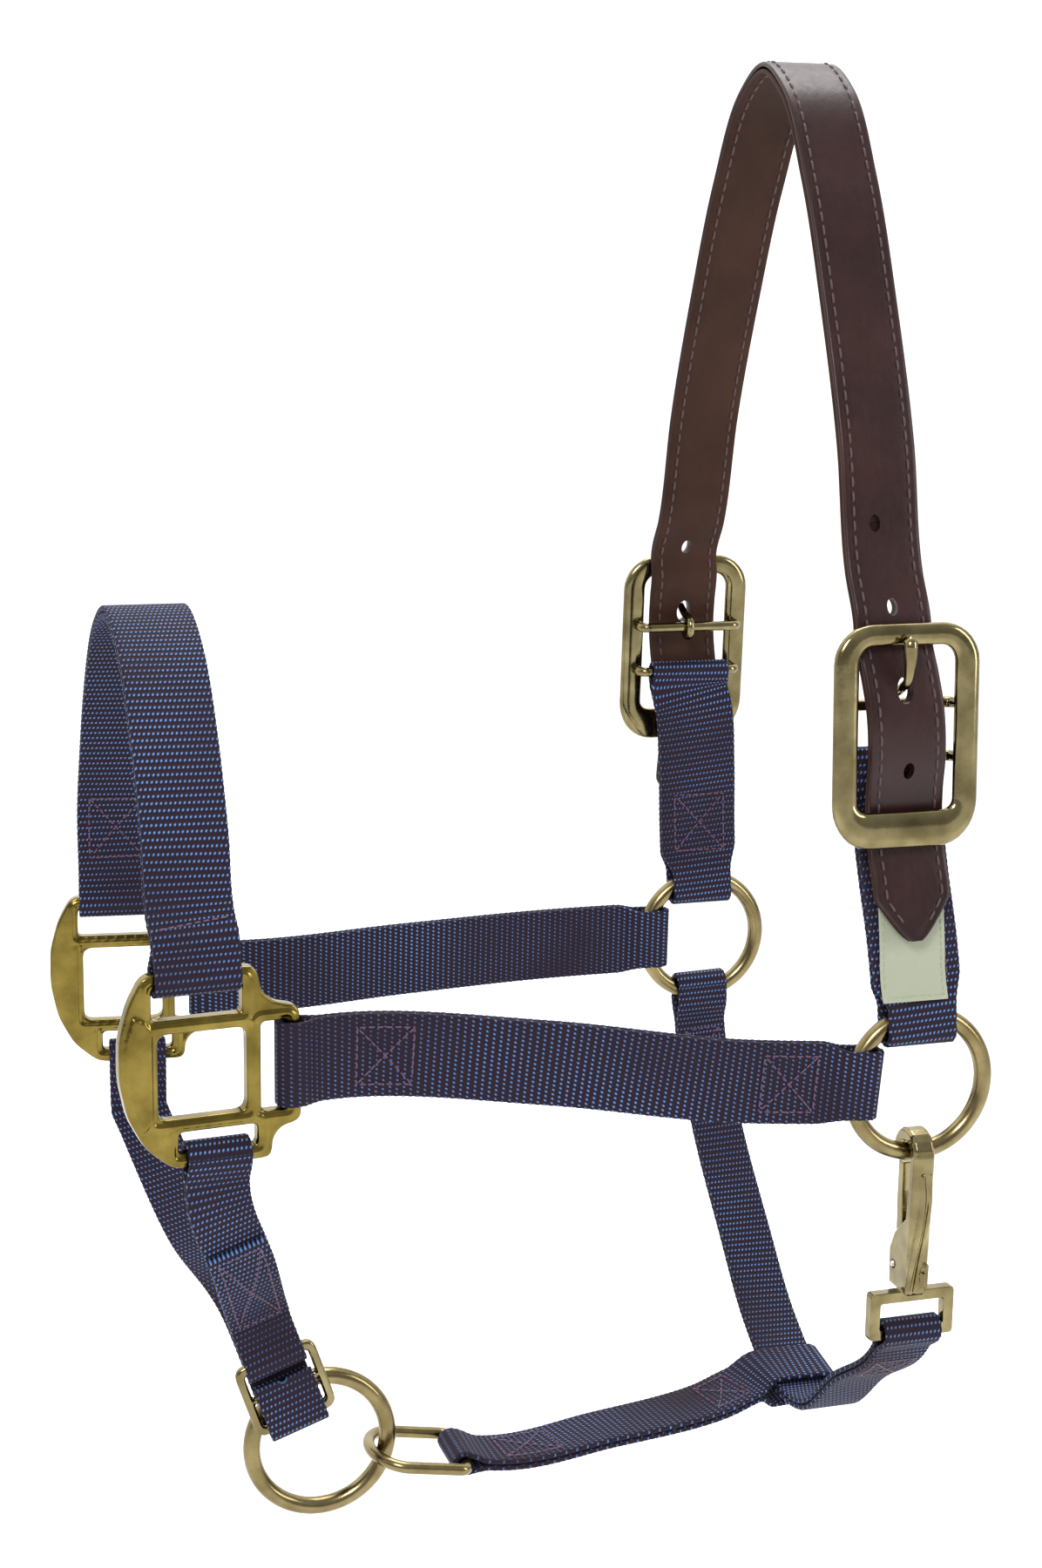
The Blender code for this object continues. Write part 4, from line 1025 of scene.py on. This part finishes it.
def label():
    """The blank woven patch keeps its shape; a run of thread follows its border."""
    low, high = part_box("near_label")
    patch = cast("near_label", "label", 0.00025, 3)
    inset = 0.0013
    half_x = (high.x - low.x) / 2 - inset
    middle_x = (high.x + low.x) / 2
    corners = [(-1, low.z + inset), (1, low.z + inset), (1, high.z - inset), (-1, high.z - inset)]
    run = []
    for (s0, z0), (s1, z1) in zip(corners, corners[1:] + corners[:1]):
        for k in range(16):
            x = middle_x + half_x * mix(s0, s1, k / 16)
            z = mix(z0, z1, k / 16)
            hit, spot, _, _ = patch.ray_cast(Vector((x, low.y - 0.02, z)), Vector((0, 1, 0)))
            if hit:
                run.append((Vector(spot) / MM + Vector(POLL_SEAT), Vector((0, -1, 0))))
    stitches("label_thread", [run], 2.2, 0.22, "label_thread", "near_label")


# ---------------------------------------------------------------- metal

def soften(obj, voxel, rounds):
    """Rebuild a faceted solid finely and round its edges, as casting and tumbling do."""
    fine = obj.modifiers.new("fine", "REMESH")
    fine.mode = "VOXEL"
    fine.voxel_size = voxel
    fine.use_smooth_shade = True
    smooth = obj.modifiers.new("tumbled", "SMOOTH")
    smooth.factor = 0.5
    smooth.iterations = rounds


def refinish(node, finish):
    """Show a node's own mesh in a finish of this file."""
    obj = frame["nodes"][node]
    obj.data.materials.clear()
    obj.data.materials.append(MATERIALS[finish])
    return obj


def cast(node, finish, voxel, rounds):
    """Show a node's own mesh in a finish of this file, its edges rounded."""
    obj = refinish(node, finish)
    soften(obj, voxel, rounds)
    return obj


def fused(node, finish, tubes, voxel, rounds):
    """The CAD solid with rounded rails melted into its faces, as one fine casting."""
    solid = frame["nodes"][node].data
    points = [tuple(Vector(v.co) / MM + Vector(POLL_SEAT)) for v in solid.vertices]
    faces = [tuple(f.vertices) for f in solid.polygons]
    for tube in tubes:
        join(points, faces, *tube)
    soften(add_mesh(node + "_cast", points, faces, finish, node), voxel, rounds)


def rail(place, corners, radius, half, depth):
    """A rail with a full, oval section along the rounded corners of an outline, in local x, z."""
    line = []
    for i, corner in enumerate(corners):
        here = Vector(corner)
        start = here + (Vector(corners[i - 1]) - here).normalized() * radius
        end = here + (Vector(corners[(i + 1) % len(corners)]) - here).normalized() * radius
        line += [start * (1 - t) ** 2 + here * (2 * t * (1 - t)) + end * t ** 2
                 for t in (0.0, 0.25, 0.5, 0.75, 1.0)]
    angles = circle(14)
    points = []
    for i, spot in enumerate(line):
        travel = (line[(i + 1) % len(line)] - line[i - 1]).normalized()
        for angle in angles:
            side = half * math.cos(angle)
            points.append(place((spot.x + travel.y * side, depth * math.sin(angle),
                                 spot.y - travel.x * side)))
    return points, grid_faces(len(line), len(angles), True)


def square(side, sign):
    """A cast square: round rails about its window and slots, and a plain thick plate at the nose."""
    mid = SQUARE_BAR / 2
    high = WINDOW_HALF + mid
    rear = WINDOW_REAR + mid
    nose_slot = NOSE_SLOT + mid
    cheek_slot = CHEEK_SLOT + mid
    chin_slot = CHIN_SLOT + mid
    windows = [(-WINDOW_FRONT - mid, -high, rear, high),
               (NOSE_SHIFT - nose_slot, high, NOSE_SHIFT + nose_slot, SQUARE_TOP - mid),
               (rear, -cheek_slot, SQUARE_REAR - mid, cheek_slot),
               (CHIN_SHIFT - chin_slot, SQUARE_LOW + mid, CHIN_SHIFT + chin_slot, -high)]
    tubes = []
    for left, low, right, top in windows:
        corners = [(left, low), (right, low), (right, top), (left, top)]
        tubes.append(rail(square_place(sign), corners, 2.6, 1.75, SQUARE_THICK / 2 + 0.55))
    fused(side + "_square", "brass", tubes, 0.00034, 6)


def snap_body():
    """The hook with a raised rib down its spine and a framed recess above its eye."""
    spine = [(0.6, 7.1, -27.0), (0.9, 7.1, -35.0), (0.1, 6.8, -45.0), (-1.3, 6.4, -55.0),
             (-2.6, 5.9, -65.5)]
    tubes = []
    for shift, thick in ((-1.1, 1.25), (1.5, 0.8)):
        rib = smooth_route([snap_place((x + shift, y, z)) for x, y, z in spine], steps=6)
        swell = [thick * (0.45 + 0.55 * math.sin(math.pi * (0.1 + 0.8 * i / len(rib))))
                 for i in range(len(rib))]
        tubes.append(tube_points(rib, swell, 12, False, up=(1, 0, 0)))
    recess = [snap_place(p) for p in ((0.0, 5.9, -64.6), (0.0, 6.4, -56.5), (2.9, 6.4, -56.5),
                                      (2.9, 5.9, -64.6))]
    for a, b in zip(recess, recess[1:]):
        tubes.append(tube_points([a, mix(a, b, 0.5), b], [0.5] * 3, 8, False, up=(1, 0, 1)))
    block = [snap_place(p) for p in ((1.5, 5.8, -63.8), (1.5, 6.0, -61.5), (1.5, 6.1, -59.0))]
    tubes.append(tube_points(block, [0.9] * 3, 8, False, up=(1, 0, 0)))
    fused("snap_body", "pale_brass", tubes, 0.00022, 4)


def tube_points(route, radii, around, closed, up=(0, 0, 1)):
    """Rings of points round a route, and the faces between them."""
    centres = np.array([tuple(p) for p in route], float)
    travel = travel_of(centres, closed)
    normal = np.array(up, float)
    points = []
    for centre, step, radius in zip(centres, travel, radii):
        normal = normal - step * normal.dot(step)
        normal = normal / np.linalg.norm(normal)
        other = np.cross(step, normal)
        for angle in circle(around):
            points.append(centre + (normal * math.cos(angle) + other * math.sin(angle)) * radius)
    return points, grid_faces(len(route), around, closed)


def frame_line(steps):
    """The buckle's middle line: (x, z, half width) round a rounded oblong, wider at the foot."""
    side = (BUCKLE_WIDTH - BUCKLE_WINDOW) / 4
    top = 3.3
    foot = 5.5
    half_x = BUCKLE_WIDTH / 2 - side
    high = BUCKLE_HEIGHT / 2 - top
    low = -BUCKLE_HEIGHT / 2 + foot
    radius = 8.5
    line = []
    inner_x = half_x - radius
    corners = [(inner_x, high - radius, 0, side, top), (-inner_x, high - radius, 90, top, side),
               (-inner_x, low + radius, 180, side, foot), (inner_x, low + radius, 270, foot, side)]
    for x, z, start, before, after in corners:
        for k in range(steps + 1):
            angle = math.radians(start + 90 * k / steps)
            line.append((x + radius * math.cos(angle), z + radius * math.sin(angle),
                         mix(before, after, ease(k / steps))))
    return line


def fuller(value, power):
    """A sine or cosine drawn towards one, for a section that is fuller than an oval."""
    return math.copysign(abs(value) ** power, value)


def buckle_frame(side, sign):
    """A die-cast frame with a full, polished face, and its two bars behind."""
    node = side + "_buckle_frame"
    place = buckle_place(sign)
    profile = [(fuller(math.cos(a), 0.75), fuller(math.sin(a), 0.9)) for a in circle(20)]
    front = 2.0
    back = 1.7
    points = []
    line = frame_line(9)
    for i, (x, z, half) in enumerate(line):
        ahead = line[(i + 1) % len(line)]
        behind = line[i - 1]
        travel = Vector((ahead[0] - behind[0], ahead[1] - behind[1])).normalized()
        for across, out in profile:
            depth = out * (front if out > 0 else back)
            points.append(place((x + travel.y * across * half, depth, z - travel.x * across * half)))
    faces = grid_faces(len(line), len(profile), True)
    post = (BUCKLE_WINDOW + 5.0) / 2
    bend = 2.6
    bar = [(-post, 0.5), (-post, -CROSSBAR_BACK + bend)]
    bar += [(-post + bend - bend * math.cos(a), -CROSSBAR_BACK + bend - bend * math.sin(a))
            for a in (math.radians(d) for d in range(15, 91, 15))]
    bar += [(-x, y) for x, y in reversed(bar)]
    for height in (UPPER_CROSSBAR, LOWER_CROSSBAR):
        route = [place((x, y, height)) for x, y in bar]
        join(points, faces, *tube_points(route, [CROSSBAR_RADIUS] * len(route), 16, False))
    add_mesh(node + "_cast", points, faces, "pale_brass", node, sharp=60)


def round_ring(node, centre):
    """A welded ring of round wire, ground slightly flat where it was joined."""
    weld_at = math.pi * 0.62
    angles = circle(160)
    route = [Vector(centre) + in_profile(angle) * RING_RADIUS for angle in angles]
    radii = [RING_WIRE - 0.10 * math.exp(-((angle - weld_at) / 0.05) ** 2) for angle in angles]
    points, faces = tube_points(route, radii, 28, True, up=(0, 1, 0))
    add_mesh(node + "_round", points, faces, "ring_brass", node)


def tongue(side, sign):
    """A drawn wire wrapped round the upper crossbar, ending in a small ball."""
    place = buckle_place(sign)
    pin_x = -CROWN_SKEW * TONGUE_HOLE / HALF_BUCKLE
    reach = CROSSBAR_RADIUS + GAP + TONGUE_WIRE
    shank = [(12.7, -3.9), (14.6, 0.0), (16.6, 3.0), (21.0, 4.2), (30.0, 4.2)]
    path = smooth_route([Vector(place((pin_x, y, z))) for z, y in tongue_wrap(reach) + shank], steps=5)
    gone = distances(path)
    ball = TONGUE_WIRE * 1.65
    radii = []
    for done in gone:
        to_tip = gone[-1] - done
        swell = math.sqrt(max(ball ** 2 - (to_tip - ball) ** 2, 0.0)) if to_tip < 2 * ball else 0.0
        thicker = TONGUE_WIRE * (0.95 + 0.6 * ease(1.0 - (to_tip - ball) / 12.0))
        radii.append(max(thicker if to_tip > ball else 0.15, swell))
    points, faces = tube_points(path, radii, 16, False, up=(1, 0, 0))
    add_mesh(side + "_tongue_wire", points, faces, "pale_brass", side + "_tongue")


def link():
    """A flattened wire loop with a straight bar for the jaw strap."""
    ahead, side = link_axes()
    base = link_start() - ahead * (RING_WIRE + GAP + LINK_WIRE)
    route = []
    for degrees in range(-90, 91, 5):
        angle = math.radians(degrees)
        bow = ahead * (LINK_HALF * (1 - math.cos(angle)) * LINK_BOW)
        route.append(base + bow + side * (LINK_HALF * math.sin(angle)))
    length = RING_WIRE + GAP + LINK_WIRE + LINK_REACH
    bend = 2.4
    turns = [math.radians(degrees) for degrees in range(0, 91, 15)]
    corner = [(length - bend + bend * math.sin(a), LINK_HALF - bend + bend * math.cos(a)) for a in turns]
    route += [base + ahead * a + side * b for a, b in corner]
    route += [base + ahead * a - side * b for a, b in corner[::-1]]
    points, faces = tube_points(route, [LINK_WIRE] * len(route), 20, True)
    add_mesh("link_ring_wire", points, faces, "ring_brass", "link_ring")


# ---------------------------------------------------------------- stage

CAMERA_AT = (-0.32497, -0.75136, -0.05975)
CAMERA_AZIMUTH = -17.59
CAMERA_ELEVATION = 11.54
CAMERA_ROLL = 0.74
CAMERA_FOV = 34.48        # vertical, in degrees
SKY_NEAR = 0.50           # the sky's brightness over the near side, and over the far side
SKY_FAR = 1.70
SKY_LEVEL = 0.80          # its share of that near the level, and overhead
SKY_TOP = 1.45
LAMP_AIM = (-0.09, 0.0, -0.22)


def camera():
    a = math.radians(CAMERA_AZIMUTH)
    e = math.radians(CAMERA_ELEVATION)
    roll = math.radians(CAMERA_ROLL)
    right = Vector((math.cos(a), math.sin(a), 0))
    back = Vector((math.sin(a) * math.cos(e), -math.cos(a) * math.cos(e), math.sin(e)))
    up = back.cross(right)
    turned = right * math.cos(roll) + up * math.sin(roll)
    upright = up * math.cos(roll) - right * math.sin(roll)
    data = bpy.data.cameras.new("camera")
    data.sensor_fit = "VERTICAL"
    data.angle = math.radians(CAMERA_FOV)
    data.clip_start = 0.01
    view = bpy.data.objects.new("camera", data)
    axes = Matrix((turned, upright, back)).transposed().to_4x4()
    view.matrix_world = Matrix.Translation(CAMERA_AT) @ axes
    bpy.context.collection.objects.link(view)
    bpy.context.scene.camera = view


def lamp(name, place, size, power):
    """A soft oblong lamp, aimed at the middle of the object."""
    data = bpy.data.lights.new(name, "AREA")
    data.shape = "RECTANGLE"
    data.size, data.size_y = size
    data.energy = power
    light = bpy.data.objects.new(name, data)
    light.location = place
    light.rotation_euler = (Vector(LAMP_AIM) - Vector(place)).to_track_quat("-Z", "Y").to_euler()
    bpy.context.collection.objects.link(light)


def room():
    """A pale sky that brightens upwards and towards the object's far side."""
    sky = bpy.data.worlds.new("studio")
    sky.use_nodes = True
    tree = sky.node_tree
    place = tree.nodes.new("ShaderNodeTexCoord").outputs["Generated"]
    split = tree.nodes.new("ShaderNodeSeparateXYZ")
    tree.links.new(place, split.inputs["Vector"])
    product = tree.nodes.new("ShaderNodeMath")
    product.operation = "MULTIPLY"
    spans = (("Z", (0.0, 1.0), (SKY_LEVEL, SKY_TOP)), ("Y", (-0.35, 0.45), (SKY_NEAR, SKY_FAR)))
    for (axis, start, end), socket in zip(spans, product.inputs):
        share = tree.nodes.new("ShaderNodeMapRange")
        share.inputs["From Min"].default_value, share.inputs["From Max"].default_value = start
        share.inputs["To Min"].default_value, share.inputs["To Max"].default_value = end
        tree.links.new(split.outputs[axis], share.inputs["Value"])
        tree.links.new(share.outputs["Result"], socket)
    tree.links.new(product.outputs["Value"], tree.nodes["Background"].inputs["Strength"])
    tree.nodes["Background"].inputs["Color"].default_value = (1.0, 1.0, 1.0, 1.0)
    return sky


def studio():
    """A pale floor under a pale sky, with large soft lamps."""
    bpy.ops.mesh.primitive_plane_add(size=30, location=(0, 0, cad_box[0][2] - 0.30))
    floor = bpy.context.object
    floor.name = "floor"
    paper = Nodes("paper")
    paper.set(Base_Color=(0.93, 0.93, 0.93, 1.0), Roughness=0.9)
    paper.set(Specular_IOR_Level=0.1)
    floor.data.materials.append(paper.material)
    bpy.context.scene.world = room()
    bpy.context.scene.view_settings.view_transform = "Standard"
    lamp("key", (-0.9, -1.3, 0.9), (0.6, 0.6), 22.0)
    lamp("fill", (1.2, -0.9, 0.2), (0.3, 1.0), 9.0)
    lamp("top", (0.2, 0.5, 1.3), (0.9, 0.9), 16.0)


# ---------------------------------------------------------------- everything

crown_layer("crown_outer", LAYER_SHIFT, "leather")
crown_layer("crown_lining", -LAYER_SHIFT, "lining")
crown_stitching()
noseband()
near_chin()
far_chin()
jaw_strap()
throat_strap()
for name, side_sign in SIDES.items():
    cheek_strap(name, side_sign)
    tab(name, side_sign)
    tongue(name, side_sign)
    round_ring(name + "_cheek_ring", (0.0, side_sign * RING_Y, 0.0))
    square(name, side_sign)
    buckle_frame(name, side_sign)
round_ring("chin_ring", CHIN_RING)
link()
cast("chin_slide", "pale_brass", 0.0003, 12)
snap_body()
cast("snap_gate", "pale_brass", 0.00022, 3)
for fitting in ("snap_pin", "snap_spring"):
    refinish(fitting, "steel")
label()
camera()
studio()
